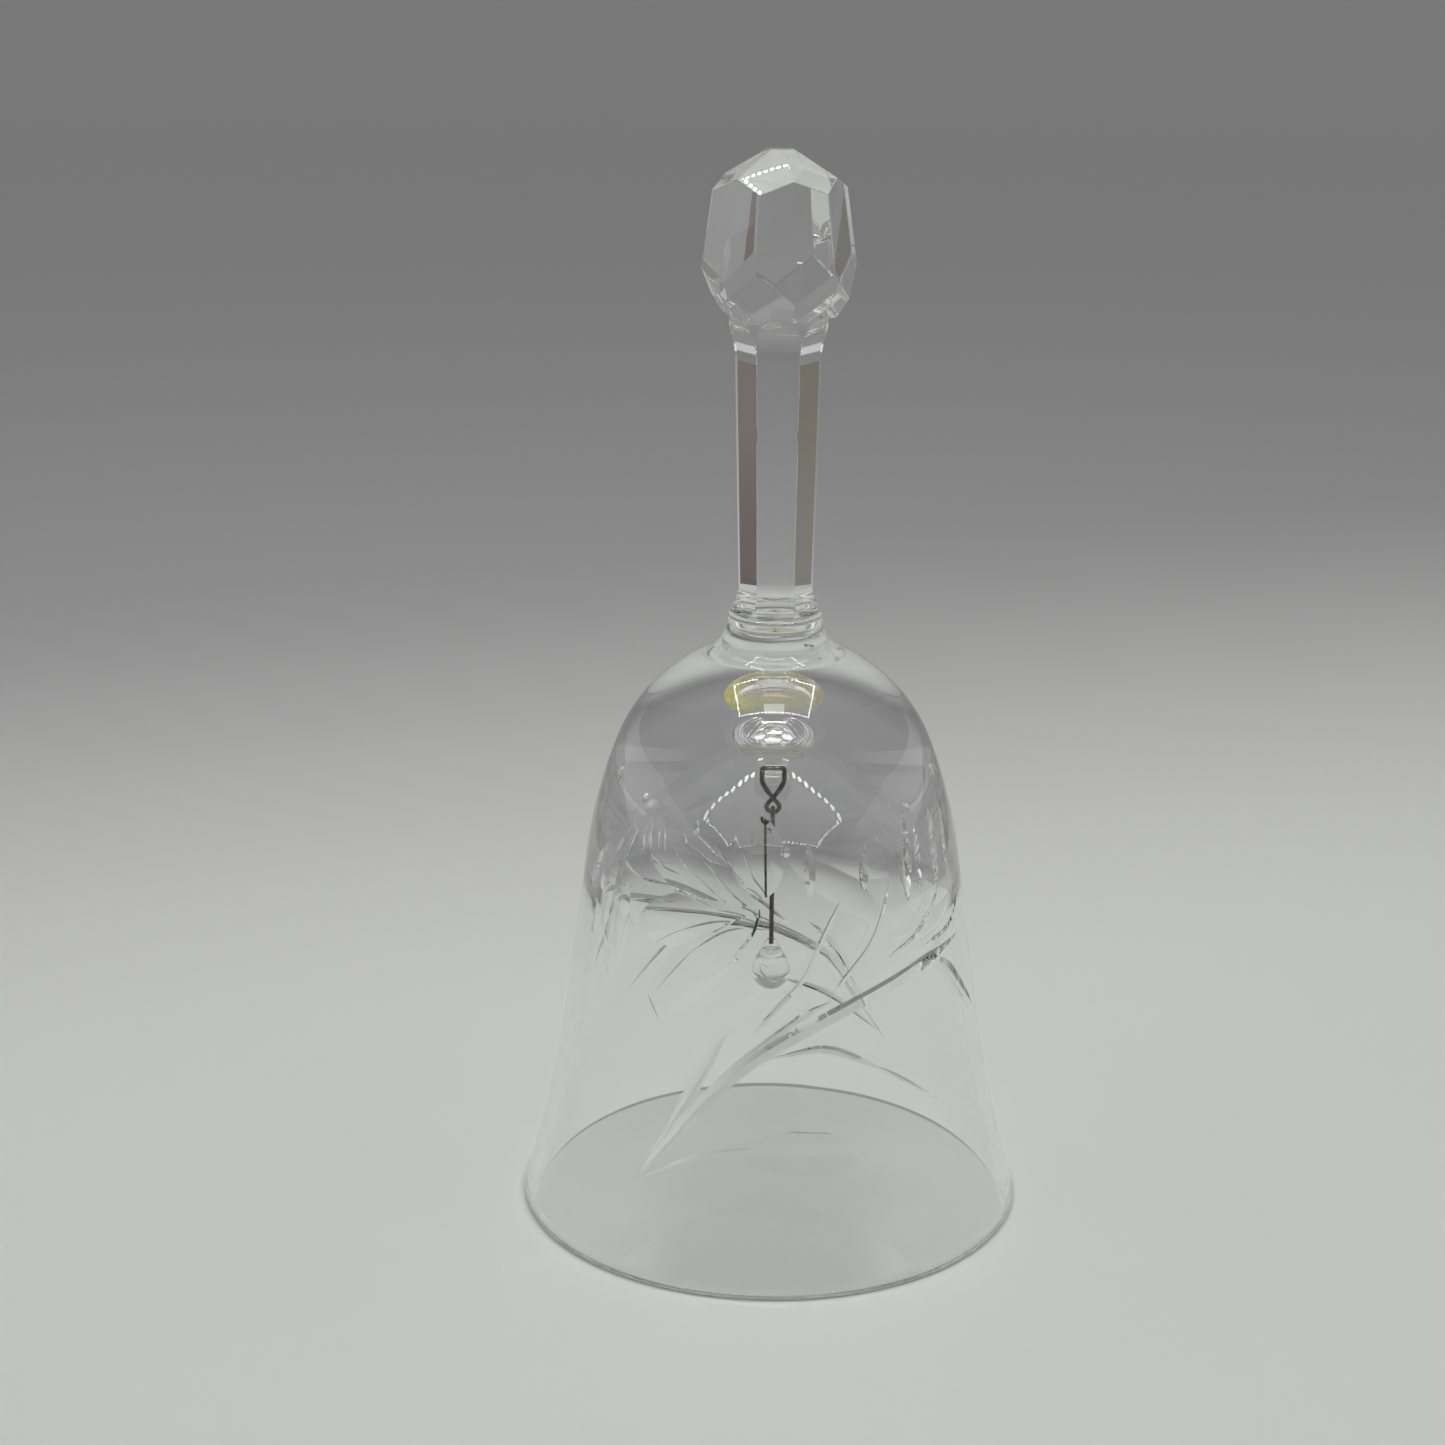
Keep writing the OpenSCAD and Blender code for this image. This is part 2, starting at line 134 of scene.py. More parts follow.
class BELL_PG_bowl(bpy.types.PropertyGroup):
    """Sizes of the bowl and of the ornament cut into it."""

    rim_radius: length("Lip radius", high("bell_bowl").x, "Outer radius of the lip")
    height: length("Height", high("bell_bowl").z, "Height of the bowl up to the collar")
    wall: length("Wall", 2.3, "Thickness of the wall")
    rim_flat: length("Lip flat", 0.7, "Width of the ground flat under the lip")
    flare_height: length("Flare height", 32, "Height at which the lip starts to flare")
    waist_radius: length("Waist radius", 32.96, "Outer radius where the flare starts")
    shoulder_height: length("Shoulder height", 58, "Height at which the side bends into the shoulder")
    shoulder_radius: length("Shoulder radius", 29.36, "Outer radius where the shoulder starts")
    shoulder_bend: length("Shoulder bend", 80, "Bend radius of the shoulder")
    crown_height: length("Crown height", 76, "Height at which the shoulder rounds into the crown")
    crown_bend: length("Crown bend", 27, "Bend radius of the crown")
    neck_radius: length("Neck radius", 6.8, "Radius that the neck's fillet runs up to")
    neck_fillet: length("Neck fillet", 8, "Fillet between the crown and the neck")
    neck_cut: length("Neck cut", 2.8, "Height of the fillet's upper end that the collar stands in for")
    hollow_height: length("Hollow height", 79.5, "Height of the hollow on the axis")
    dome_bend: length("Dome bend", 23, "Bend radius of the hollow's dome")
    hollow_side: length("Hollow side", 51, "Height at which the hollow's side bends into its shoulder")
    motifs: IntProperty(
        name="Motifs", description="How often the spray is repeated round the bowl", default=2, min=1, max=4
    )
    mitre_depth: length("Mitre depth", 0.7, "Depth of the deepest mitre cuts")
    petal_depth: length("Petal depth", 0.5, "Depth of the deepest petal cuts")
    mitre_angle: angle("Mitre angle", 57, "Angle of a mitre's side from its middle plane")


class BELL_PG_handle(bpy.types.PropertyGroup):
    """Sizes of the collar, the stem and the knob."""

    collar_round: length("Collar rounding", 0.8, "Rounding of the collar's edge")
    stem_length: length("Stem length", 45.8, "Length of the stem from the collar to the knob")
    stem_facets: IntProperty(name="Stem facets", description="Facets round the stem", default=6, min=5, max=8)
    foot_flat: length("Foot flat", 4.925, "Distance of a facet from the axis at the foot")
    head_flat: length("Head flat", 5.6, "Distance of a facet from the axis at the head")
    foot_runout: length("Foot run-out", 4, "Length of a facet's run-out at the foot")
    foot_wheel: length("Foot wheel", 6, "Radius of the grinding wheel at the foot")
    head_runout: length("Head run-out", 7, "Length of a facet's run-out at the head")
    head_wheel: length("Head wheel", 14, "Radius of the grinding wheel at the head")
    foot_radius: length("Foot radius", 6.85, "Radius of the stem's round foot")
    low_radius: length("Low radius", 6.25, "Radius of the uncut stem just above its foot")
    high_radius: length("High radius", 7.1, "Radius of the uncut stem just below the knob")
    foot_flare: length("Foot flare", 2.6, "Height of the flare at the foot")
    knob_facets: IntProperty(
        name="Knob facets", description="Facets in a row of the knob", default=6, min=5, max=8
    )
    knob_turn: angle("Knob turn", -17, "Turn of the knob about the stem")
    wide_radius: length("Wide radius", 11.9, "Radius over the corners at the widest place")
    wide_height: length("Wide height", 7.2, "Height of the widest place above the stem")
    top_radius: length("Top radius", 10.25, "Radius over the corners under the top facets")
    top_height: length("Top height", 18.6, "Height of those corners above the stem")
    top_slope: angle("Top slope", 34, "Slope of the top facets")
    low_slope: angle("Low slope", 30, "Angle of the lower facets from upright")
    edge: length("Edge", 0.12, "Width of the polished edge between two facets")


class BELL_PG_hanger(bpy.types.PropertyGroup):
    """Sizes of the adhesive, the button and the hanger loop."""

    glue_radius: length("Glue radius", high("adhesive").x, "Radius of the layer of adhesive")
    button_radius: length("Button radius", high("hanger_button").x, "Radius of the button")
    button_thickness: length("Button thickness", 1.2, "Thickness of the button")
    lug_drop: length("Lug drop", 1.5, "Distance of the lug's hole below the button")
    lug_thickness: length("Lug thickness", 2.4, "Thickness of the lug along its hole")
    lug_width: length("Lug width", 2.4, "Width of the lug across its hole")
    hole_radius: length("Hole radius", 0.41, "Radius of the hole in the lug")
    wire_radius: length("Wire radius", 0.35, "Radius of both wires")
    side_clearance: length("Side clearance", 0.12, "Clearance between the wire and the lug")
    bend: length("Bend", 0.5, "Radius of the tight bends")
    turn: length("Turn", 0.8, "Radius at which the legs turn inwards")
    eye: length("Eye", 0.95, "Radius of the eye at the wire's middle")
    twist: angle("Twist", 1.2, "Twist of each half of the loop, which lets its legs pass")
    lap: angle("Lap", 25, "Overlap of the wire's ends at the bottom of the eye")


class BELL_PG_clapper(bpy.types.PropertyGroup):
    """Sizes of the clapper wire and the drop."""

    loop_length: length("Lower loop", 2.9, "Length of the lower loop of the wire")
    drop_radius: length("Drop radius", high("clapper_drop").x, "Radius of the glass drop")
    drop_length: length("Drop length", 9.1, "Length of the drop below its hole")
    neck_thickness: length("Neck thickness", 1, "Thickness of the drop's pierced neck")
    neck_radius: length("Neck radius", 0.95, "Radius of the neck's rounded top")
    hole_radius: length("Hole radius", 0.41, "Radius of the hole in the neck")


class BELL_PG_finish(bpy.types.PropertyGroup):
    """Colours of the finishes."""

    glass: colour("Glass", (0.985, 0.99, 0.988), "Tint of the clear glass")
    refraction: FloatProperty(
        name="Refraction",
        description="Refractive index of the glass",
        default=1.53,
        min=1,
        max=3,
        subtype="FACTOR",
    )
    resin: colour("Resin", (0.66, 0.62, 0.22), "Yellow of the aged adhesive")
    resin_dark: colour("Old resin", (0.47, 0.41, 0.06), "Darker yellow where the adhesive is thick")
    resin_edge: colour("Resin edge", (0.88, 0.86, 0.66), "Tint of the adhesive's clear edge")
    wire: colour("Wire", (0.045, 0.04, 0.037), "Dulled metal of the wires")
    wire_worn: colour("Worn wire", (0.17, 0.14, 0.115), "Metal where the wires are rubbed")


class BELL_PG_stage(bpy.types.PropertyGroup):
    """Camera, floor and light."""

    lens: FloatProperty(name="Lens", description="Focal length of the camera", default=70, unit="CAMERA")
    camera_back: length("Camera back", 418.75, "Distance of the camera in front of the bell's axis")
    camera_height: length("Camera height", 208.88, "Height of the camera above the floor")
    pan: angle("Pan", -1.097, "Turn of the camera to the right")
    tilt: angle("Tilt", 17.235, "Downward tilt of the camera")
    roll: angle("Roll", 0.377, "Roll of the camera")
    floor: colour("Floor", (0.56, 0.57, 0.555), "Pale floor round the bell")
    # The floor's far grey is painted shade, where the light falls off behind the bell. The two reaches say
    # where this painted shade starts and where it is full.
    backdrop: colour("Backdrop", (0.33, 0.33, 0.33), "Grey of the floor far behind the bell")
    pale_reach: length("Pale reach", 60, "Distance behind the bell at which the floor starts to turn grey")
    grey_reach: length("Grey reach", 460, "Distance from which the floor is grey")
    light_height: length("Light height", 500, "Height of the frame of lights above the floor")
    light_width: length("Light width", 320, "Width of the frame of lights")
    light_depth: length("Light depth", 210, "Depth of the frame of lights from front to back")
    light_pitch: length("Light pitch", 15, "Distance between two lights of the frame")
    light_radius: length("Light radius", 5.5, "Radius of each light of the frame")
    light_strength: FloatProperty(name="Light strength", description="Glow of the lights", default=20, min=0)
    panel_lift: length("Panel lift", 60, "Height of the soft panel above the frame of lights")
    panel_size: length("Panel size", 700, "Width and depth of the soft panel")
    panel_power: FloatProperty(
        name="Panel power", description="Power of the soft panel", default=1.43, min=0, unit="POWER"
    )


GROUPS = {
    "bell_bowl": BELL_PG_bowl,
    "bell_handle": BELL_PG_handle,
    "bell_hanger": BELL_PG_hanger,
    "bell_clapper": BELL_PG_clapper,
    "bell_finish": BELL_PG_finish,
    "bell_stage": BELL_PG_stage,
}


def sizes(group_name):
    """A group's values under the same names, with lengths in millimetres."""
    group = getattr(bpy.context.scene, group_name)
    values = SimpleNamespace()
    for name in GROUPS[group_name].__annotations__:
        value = getattr(group, name)
        if group.bl_rna.properties[name].unit == "LENGTH":
            value /= MM
        setattr(values, name, value)
    return values


# Modelling helpers


def new_mesh(bm, name):
    """The bmesh as mesh data. The bmesh is freed."""
    mesh = bpy.data.meshes.new(name)
    bm.to_mesh(mesh)
    bm.free()
    return mesh


def spun(bm, steps):
    """Turns the whole of an open bmesh once about Z."""
    bmesh.ops.spin(
        bm,
        geom=bm.verts[:] + bm.edges[:],
        cent=(0, 0, 0),
        axis=(0, 0, 1),
        angle=math.tau,
        steps=steps,
        use_merge=True,
    )


def revolved(points, segments=ROUND):
    """A closed bmesh: an open section of (radius, height) points, turned about Z."""
    bm = bmesh.new()
    verts = [bm.verts.new((r, 0, z)) for r, z in points]
    for pair in zip(verts, verts[1:]):
        bm.edges.new(pair)
    spun(bm, segments)
    bmesh.ops.remove_doubles(bm, verts=bm.verts, dist=TOUCH)
    bmesh.ops.dissolve_degenerate(bm, edges=bm.edges, dist=TOUCH / 10)
    bmesh.ops.recalc_face_normals(bm, faces=bm.faces)
    return bm


def extruded(outline, start, reach):
    """A closed bmesh: a flat outline of points, moved by start and extruded along reach."""
    bm = bmesh.new()
    verts = [bm.verts.new(Vector(p) + Vector(start)) for p in outline]
    face = bm.faces.new(verts)
    grown = bmesh.ops.extrude_face_region(bm, geom=[face])
    moved = [v for v in grown["geom"] if isinstance(v, bmesh.types.BMVert)]
    bmesh.ops.translate(bm, vec=Vector(reach), verts=moved)
    bmesh.ops.recalc_face_normals(bm, faces=bm.faces)
    return bm


def swept(outline, stations):
    """A closed bmesh: a flat outline carried through a row of matrices, with capped ends."""
    bm = bmesh.new()
    face = bm.faces.new([bm.verts.new(stations[0] @ Vector(p)) for p in outline])
    last = stations[0]
    for station in stations[1:]:
        grown = bmesh.ops.extrude_face_region(bm, geom=[face])["geom"]
        if last is not stations[0]:
            bmesh.ops.delete(bm, geom=[face], context="FACES_ONLY")
        face = next(g for g in grown if isinstance(g, bmesh.types.BMFace))
        bmesh.ops.transform(bm, matrix=station @ last.inverted(), verts=face.verts)
        last = station
    bmesh.ops.recalc_face_normals(bm, faces=bm.faces)
    return bm


def arc(x, y, bend, start, end, count):
    """Points of an arc about (x, y), from one direction to another."""
    turns = [start + (end - start) * i / count for i in range(count + 1)]
    return [(x + bend * math.cos(t), y + bend * math.sin(t)) for t in turns]


def bevelled(bm, edges, width, segments):
    """Rounds edges of a bmesh."""
    bmesh.ops.bevel(
        bm,
        geom=edges,
        offset=width,
        offset_type="OFFSET",
        affect="EDGES",
        segments=segments,
        profile=0.5,
        material=-1,
        clamp_overlap=True,
    )


def bore(radius, depth, height, axis):
    """A mesh to drill a hole with, across the bell's axis at a height."""
    bm = bmesh.new()
    place = Matrix.Translation((0, 0, height)) @ Matrix.Rotation(math.pi / 2, 4, axis)
    bmesh.ops.create_cone(
        bm, cap_ends=True, segments=HOLE_ROUND, radius1=radius, radius2=radius, depth=depth, matrix=place
    )
    return new_mesh(bm, "bore")


def booleaned(mesh, tools, operation="DIFFERENCE"):
    """The mesh after each closed tool mesh was cut from it, or joined to it, in turn."""
    scene = bpy.context.scene
    work = bpy.data.objects.new("work", mesh)
    scene.collection.objects.link(work)
    helpers = []
    for tool in tools:
        helper = bpy.data.objects.new("tool", tool)
        scene.collection.objects.link(helper)
        helpers.append(helper)
        modifier = work.modifiers.new("boolean", "BOOLEAN")
        modifier.operation = operation
        modifier.solver = "MANIFOLD"
        modifier.material_mode = "TRANSFER"
        modifier.object = helper
    depsgraph = bpy.context.evaluated_depsgraph_get()
    depsgraph.update()
    result = bpy.data.meshes.new_from_object(work.evaluated_get(depsgraph))
    for helper in [work, *helpers]:
        bpy.data.objects.remove(helper)
    if not result.polygons:
        raise RuntimeError(f"nothing is left of {mesh.name}")
    return result


def paint(mesh, materials, pick=lambda polygon: 0):
    """Gives a mesh its materials. The pick tells which of them a face has."""
    mesh.materials.clear()
    for material in materials:
        mesh.materials.append(material)
    for polygon in mesh.polygons:
        polygon.material_index = int(pick(polygon))


def finish_piece(mesh, name, sharp=30):
    """Scales a finished mesh to metres, shades it and sets it on the frame in place of its node."""
    mesh.name = name
    mesh.transform(Matrix.Scale(MM, 4))
    if sharp is not None:
        mesh.shade_smooth()
        mesh.set_sharp_from_angle(angle=math.radians(sharp))
    piece = bpy.data.objects.new(name, mesh)
    bpy.context.scene.collection.objects.link(piece)
    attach(piece, frame["nodes"][name]["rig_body"])
    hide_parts(name)


# Nodes


def feed(node, inputs):
    """Gives each of a node's inputs a value, or links it to another node's output."""
    for key, value in inputs.items():
        if isinstance(value, bpy.types.NodeSocket):
            node.id_data.links.new(value, node.inputs[key])
        else:
            node.inputs[key].default_value = value


def add(tree, kind, inputs=None, **settings):
    """Outputs of a new shader node with its settings and inputs."""
    node = tree.nodes.new("ShaderNode" + kind)
    for name, value in settings.items():
        setattr(node, name, value)
    feed(node, inputs or {})
    return node.outputs


def remap(tree, value, start, end, least=0, most=1, smooth=False):
    """Turns a value's way from start to end into a number from the least to the most."""
    inputs = {"Value": value, "From Min": start, "From Max": end, "To Min": least, "To Max": most}
    kind = "SMOOTHSTEP" if smooth else "LINEAR"
    return add(tree, "MapRange", inputs, interpolation_type=kind)["Result"]


def computed(tree, operation, *values):
    """Result of a Math node with one to three values."""
    return add(tree, "Math", dict(enumerate(values)), operation=operation)["Value"]


def mixed(tree, factor, first, second):
    """A colour between two others."""
    return add(tree, "Mix", {"Factor": factor, "A": first, "B": second}, data_type="RGBA")["Result"]


def noise(tree, place, scale, detail, distortion=0):
    """Soft random patches."""
    inputs = {"Vector": place, "Scale": scale, "Detail": detail, "Distortion": distortion}
    return add(tree, "TexNoise", inputs)["Fac"]


def two_tones(tree, value, start, first, end, second):
    """A colour that goes from the first at one value to the second at another."""
    ramp = tree.nodes.new("ShaderNodeValToRGB")
    for element, position, tint in zip(ramp.color_ramp.elements, (start, end), (first, second)):
        element.position = position
        element.color = (*tint, 1)
    feed(ramp, {"Fac": value})
    return ramp.outputs["Color"]


def bumped(tree, height, strength, distance):
    """A normal that follows a height. The distance is in millimetres."""
    return add(tree, "Bump", {"Height": height, "Strength": strength, "Distance": distance * MM})["Normal"]


def coordinates(tree, kind="Object"):
    """Coordinates, whole and as three outputs."""
    place = add(tree, "TexCoord")[kind]
    return place, add(tree, "SeparateXYZ", {"Vector": place})


def node_group(name, inputs, outputs):
    """An empty shader node group with named sockets, and its input and output nodes."""
    group = bpy.data.node_groups.new(name, "ShaderNodeTree")
    for label, kind, value in inputs:
        socket = group.interface.new_socket(label, in_out="INPUT", socket_type=kind)
        socket.default_value = value
    for label, kind in outputs:
        group.interface.new_socket(label, in_out="OUTPUT", socket_type=kind)
    return group, group.nodes.new("NodeGroupInput"), group.nodes.new("NodeGroupOutput")


# Materials


def handling_marks():
    """Faint smudges and the slow waves of blown glass, as a roughness and a height."""
    if "Handling marks" in bpy.data.node_groups:
        return bpy.data.node_groups["Handling marks"]
    group, start, end = node_group(
        "Handling marks",
        [
            ("Smudge Size", "NodeSocketFloat", 90.0),
            ("Smudge Roughness", "NodeSocketFloat", 0.05),
            ("Wave Size", "NodeSocketFloat", 60.0),
        ],
        [("Roughness", "NodeSocketFloat"), ("Height", "NodeSocketFloat")],
    )
    place = add(group, "TexCoord")["Object"]
    smudge = noise(group, place, start.outputs["Smudge Size"], detail=4)
    marks = {
        "Roughness": remap(group, smudge, 0.6, 0.85, 0, start.outputs["Smudge Roughness"]),
        "Height": noise(group, place, start.outputs["Wave Size"], detail=1),
    }
    feed(end, marks)
    return group


def material_base(name):
    """A new node material, its shader and its tree."""
    material = bpy.data.materials.new(name)
    material.use_nodes = True
    return material, material.node_tree.nodes["Principled BSDF"], material.node_tree


def clear_glass(name, wave_size=60, wave_height=0.02, smudge=0.05):
    """Clear polished glass."""
    if name in bpy.data.materials:
        return bpy.data.materials[name]
    finish = bpy.context.scene.bell_finish
    material, shader, tree = material_base(name)
    values = {"Wave Size": wave_size, "Smudge Roughness": smudge}
    marks = add(tree, "Group", values, node_tree=handling_marks())
    glass = {
        "Base Color": (*finish.glass, 1),
        "Transmission Weight": 1,
        "IOR": finish.refraction,
        "Roughness": marks["Roughness"],
        "Normal": bumped(tree, marks["Height"], 0.25, wave_height),
    }
    feed(shader, glass)
    return material


def handle_glass():
    """Glass of the collar, the stem and the knob."""
    return clear_glass("Handle glass", wave_size=150, wave_height=0.01, smudge=0.03)


def fused_joint():
    """Where two pieces of glass were joined hot, no surface is left to see."""
    if "Fused joint" in bpy.data.materials:
        return bpy.data.materials["Fused joint"]
    material, shader, _ = material_base("Fused joint")
    feed(shader, {"Alpha": 0, "Roughness": 0})
    return material


def tarnished_wire():
    """Drawn wire, dulled and rubbed bright in places."""
    if "Tarnished wire" in bpy.data.materials:
        return bpy.data.materials["Tarnished wire"]
    finish = bpy.context.scene.bell_finish
    material, shader, tree = material_base("Tarnished wire")
    patches = noise(tree, add(tree, "TexCoord")["Object"], scale=900, detail=6)
    metal = {
        "Metallic": 1,
        "Base Color": two_tones(tree, patches, 0.42, finish.wire, 0.75, finish.wire_worn),
        "Roughness": remap(tree, patches, 0, 1, 0.6, 0.3),
        "Normal": bumped(tree, patches, 0.4, 0.03),
    }
    feed(shader, metal)
    return material


def resin_film():
    """Upper face of the adhesive, seen through the crown: a patchy yellow film, thin in its middle."""
    finish = bpy.context.scene.bell_finish
    material, shader, tree = material_base("Yellowed resin")
    place, axes = coordinates(tree)
    patches = noise(tree, place, scale=330, detail=5, distortion=0.6)
    from_middle = {0: place, 1: (1, 1, 0), 2: (0.8 * MM, -1.8 * MM, 0)}
    level = add(tree, "VectorMath", from_middle, operation="MULTIPLY_ADD")["Vector"]
    reach = add(tree, "VectorMath", {0: level}, operation="LENGTH")["Value"]
    side = remap(tree, axes["X"], 3 * MM, -4 * MM, 0.3)
    ring = remap(tree, reach, 1.5 * MM, 5 * MM, 0.15)
    front = remap(tree, axes["Y"], -4.2 * MM, -1.5 * MM)
    cover = remap(tree, patches, 0.35, 0.6, 0.35)
    for mask in (side, ring, front):
        cover = computed(tree, "MULTIPLY", cover, mask)
    film = {
        "Base Color": two_tones(tree, patches, 0.35, finish.resin, 0.7, finish.resin_dark),
        "Roughness": 0.45,
        "Alpha": cover,
    }
    feed(shader, film)
    return material


def resin_body():
    """Free edge of the adhesive: yellow and clear."""
    finish = bpy.context.scene.bell_finish
    material, shader, tree = material_base("Resin edge")
    marks = add(tree, "Group", {"Smudge Roughness": 0.3}, node_tree=handling_marks())
    resin = {
        "Base Color": (*finish.resin_edge, 1),
        "Transmission Weight": 1,
        "IOR": 1.5,
        "Roughness": marks["Roughness"],
    }
    feed(shader, resin)
    return material


# Bowl


class Run:
    """One arc of the bowl's section. Its glass is inside the arc if side is 1, outside if it is -1."""

    def __init__(self, centre, bend, start, end, side):
        self.centre = Vector(centre)
        self.bend = bend
        self.start = start
        self.end = end
        self.side = side

    def point(self, heading):
        """The (radius, height) point in a direction from the arc's centre, in degrees."""
        turn = math.radians(heading)
        return self.centre + self.bend * Vector((math.cos(turn), math.sin(turn)))

    def points(self, step):
        """Points along the arc, about a step apart."""
        count = max(4, math.ceil(abs(math.radians(self.end - self.start)) * self.bend / step))
        return [self.point(self.start + (self.end - self.start) * i / count) for i in range(count + 1)]

    def heights(self):
        """Lowest and highest point."""
        ends = [self.point(self.start).y, self.point(self.end).y]
        return min(ends), max(ends)

    def normal(self, place):
        """Outward direction of the glass at a place on the arc."""
        return self.side * (place - self.centre).normalized()


class BowlSection:
    """Section of the bowl: the same tangent arcs as the frame's node."""

    def __init__(self, s):
        # The straight side and the flare that runs from it to the lip
        tilt = math.atan((s.waist_radius - s.shoulder_radius) / (s.shoulder_height - s.flare_height))
        out = Vector((math.cos(tilt), math.sin(tilt)))
        waist = Vector((s.waist_radius, s.flare_height))
        lip_round = (s.wall - s.rim_flat) / 2
        lip = Vector((s.rim_radius, lip_round))
        chord = lip - waist
        flare = chord.length_squared / (2 * chord.dot(out))
        flare_c = waist + flare * out
        # Shoulder, crown and neck fillet, each tangent to the one before
        shoulder_c = Vector((s.shoulder_radius, s.shoulder_height)) - s.shoulder_bend * out
        crown_tilt = math.asin(out.y + (s.crown_height - s.shoulder_height) / s.shoulder_bend)
        crown_out = Vector((math.cos(crown_tilt), math.sin(crown_tilt)))
        crown_c = shoulder_c + (s.shoulder_bend - s.crown_bend) * crown_out
        fillet_x = s.neck_radius + s.neck_fillet
        fillet_z = math.sqrt((s.crown_bend + s.neck_fillet) ** 2 - (fillet_x - crown_c.x) ** 2)
        fillet_c = Vector((fillet_x, crown_c.y + fillet_z))
        # The hollow's dome, its shoulder and the inside of the lip
        dome_c = Vector((0, s.hollow_height - s.dome_bend))
        side_end = waist - s.wall * out
        side_end += (s.hollow_side - side_end.y) * Vector((-math.tan(tilt), 1))
        gap = side_end - dome_c
        inner = (gap.length_squared - s.dome_bend**2) / (2 * (gap.dot(out) - s.dome_bend))
        inner_c = side_end - inner * out
        rise = math.degrees(math.asin((flare_c.y - lip_round) / (flare + s.wall)))
        inner_lip_x = flare_c.x - (flare + s.wall) * math.cos(math.radians(rise))
        tilt = math.degrees(tilt)
        crown_tilt = math.degrees(crown_tilt)
        neck_end = 180 + math.degrees(math.asin(s.neck_cut / s.neck_fillet))
        self.side_out = out
        self.outer = [
            Run((s.rim_radius - lip_round, lip_round), lip_round, -90, 0, 1),
            Run(flare_c, flare, 360 + self.heading(flare_c, lip), 180 + tilt, -1),
            Run(shoulder_c, s.shoulder_bend, tilt, crown_tilt, 1),
            Run(crown_c, s.crown_bend, crown_tilt, self.heading(crown_c, fillet_c), 1),
            Run(fillet_c, s.neck_fillet, self.heading(fillet_c, crown_c) + 360, neck_end, -1),
        ]
        dome_edge = self.heading(inner_c, dome_c)
        glue_edge = math.degrees(math.acos(s.glue_radius / s.dome_bend))
        self.inner = [
            Run(dome_c, s.dome_bend, 90, glue_edge, -1),
            Run(dome_c, s.dome_bend, glue_edge, dome_edge, -1),
            Run(inner_c, inner, dome_edge, tilt, -1),
            Run(flare_c, flare + s.wall, 180 + tilt, 180 + rise, 1),
            Run((inner_lip_x + lip_round, lip_round), lip_round, 180, 270, 1),
        ]

    @staticmethod
    def heading(centre, place):
        """Direction of a place seen from a centre, in degrees."""
        return math.degrees(math.atan2(place.y - centre.y, place.x - centre.x))

    def outline(self, step, height, joint):
        """Points of the whole section, from the top of the axis round the lip to the hollow's top."""
        outside = [p for run in reversed(self.outer) for p in reversed(run.points(step))]
        inside = [p for run in reversed(self.inner) for p in reversed(run.points(step))]
        top = [(0, height), (joint, height)]
        points = [Vector(p) for p in top] + outside + inside
        points[-1].x = 0
        return [p for i, p in enumerate(points) if i == 0 or (p - points[i - 1]).length > TOUCH]

    @staticmethod
    def run_at(runs, height, slack=0):
        """The arc that a height lies on, or None on the straight side."""
        for run in runs:
            floor, top = run.heights()
            if floor - slack <= height <= top + slack:
                return run
        return None

    def normal(self, runs, place, straight):
        """Outward direction of the glass at a place on one side of the section."""
        run = self.run_at(runs, place.y, LEVEL)
        return run.normal(place) if run else straight

    def radius(self, height):
        """Outer radius at a height between the lip and the neck."""
        run = self.run_at(self.outer, height)
        if run:
            return run.centre.x + run.side * math.sqrt(max(0, run.bend**2 - (height - run.centre.y) ** 2))
        flare_top = self.outer[1].point(self.outer[1].end)
        return flare_top.x - (height - flare_top.y) * self.side_out.y / self.side_out.x

    def bend(self, height):
        """How much the outside bends along the side at a height, as one over the radius."""
        run = self.run_at(self.outer, height)
        return run.side / run.bend if run else 0

    def surface(self, turn, height):
        """Point and outward direction on the bowl's outside. The turn is from -Y towards +X."""
        place = Vector((self.radius(height), height))
        out = self.normal(self.outer, place, self.side_out)
        sine, cosine = math.sin(math.radians(turn)), math.cos(math.radians(turn))
        return (
            Vector((place.x * sine, -place.x * cosine, height)),
            Vector((out.x * sine, -out.x * cosine, out.y)),
        )


# Distance between two points of the bowl's section, in millimetres
SECTION_STEP = 1.6

# Bend, in degrees, from which an edge of the cut bowl is sharp
CUT_EDGE = 24

# One motif of the ornament, a spray with a flower. Turns are in degrees from the motif's middle, heights
# in millimetres.

# Straight wheel cuts: start and end as (turn, height), share of the full depth
MITRES = [
    ((-29, 21.5), (-10.7, 41.4), 1.0),
    ((28.2, 60.6), (30, 67.6), 0.85),
    ((44.5, 57.6), (47.2, 70.8), 0.95),
    ((50.5, 58.6), (51.3, 68.6), 0.7),
    ((58.5, 57), (61.8, 70.6), 0.95),
    ((66, 57), (70, 70), 0.7),
    ((11.5, 60.6), (11.3, 68.6), 0.85),
]

# Broad round-edged wheel cuts: start, end, width, share of the full depth
PETALS = [
    ((-3, 58.2), (-42, 55.4), 9.0, 1.0),
    ((-4.5, 60.2), (-50, 69.6), 9.5, 1.0),
    ((-1, 61), (-8, 72.4), 8.0, 0.95),
    ((-4.5, 56), (-36, 45), 8.5, 1.0),
    ((-58, 66), (-64, 48), 8.0, 0.9),
    ((-52, 62), (-53, 44), 6.5, 0.9),
    ((-6, 22), (24, 21.5), 7.0, 0.7),
]

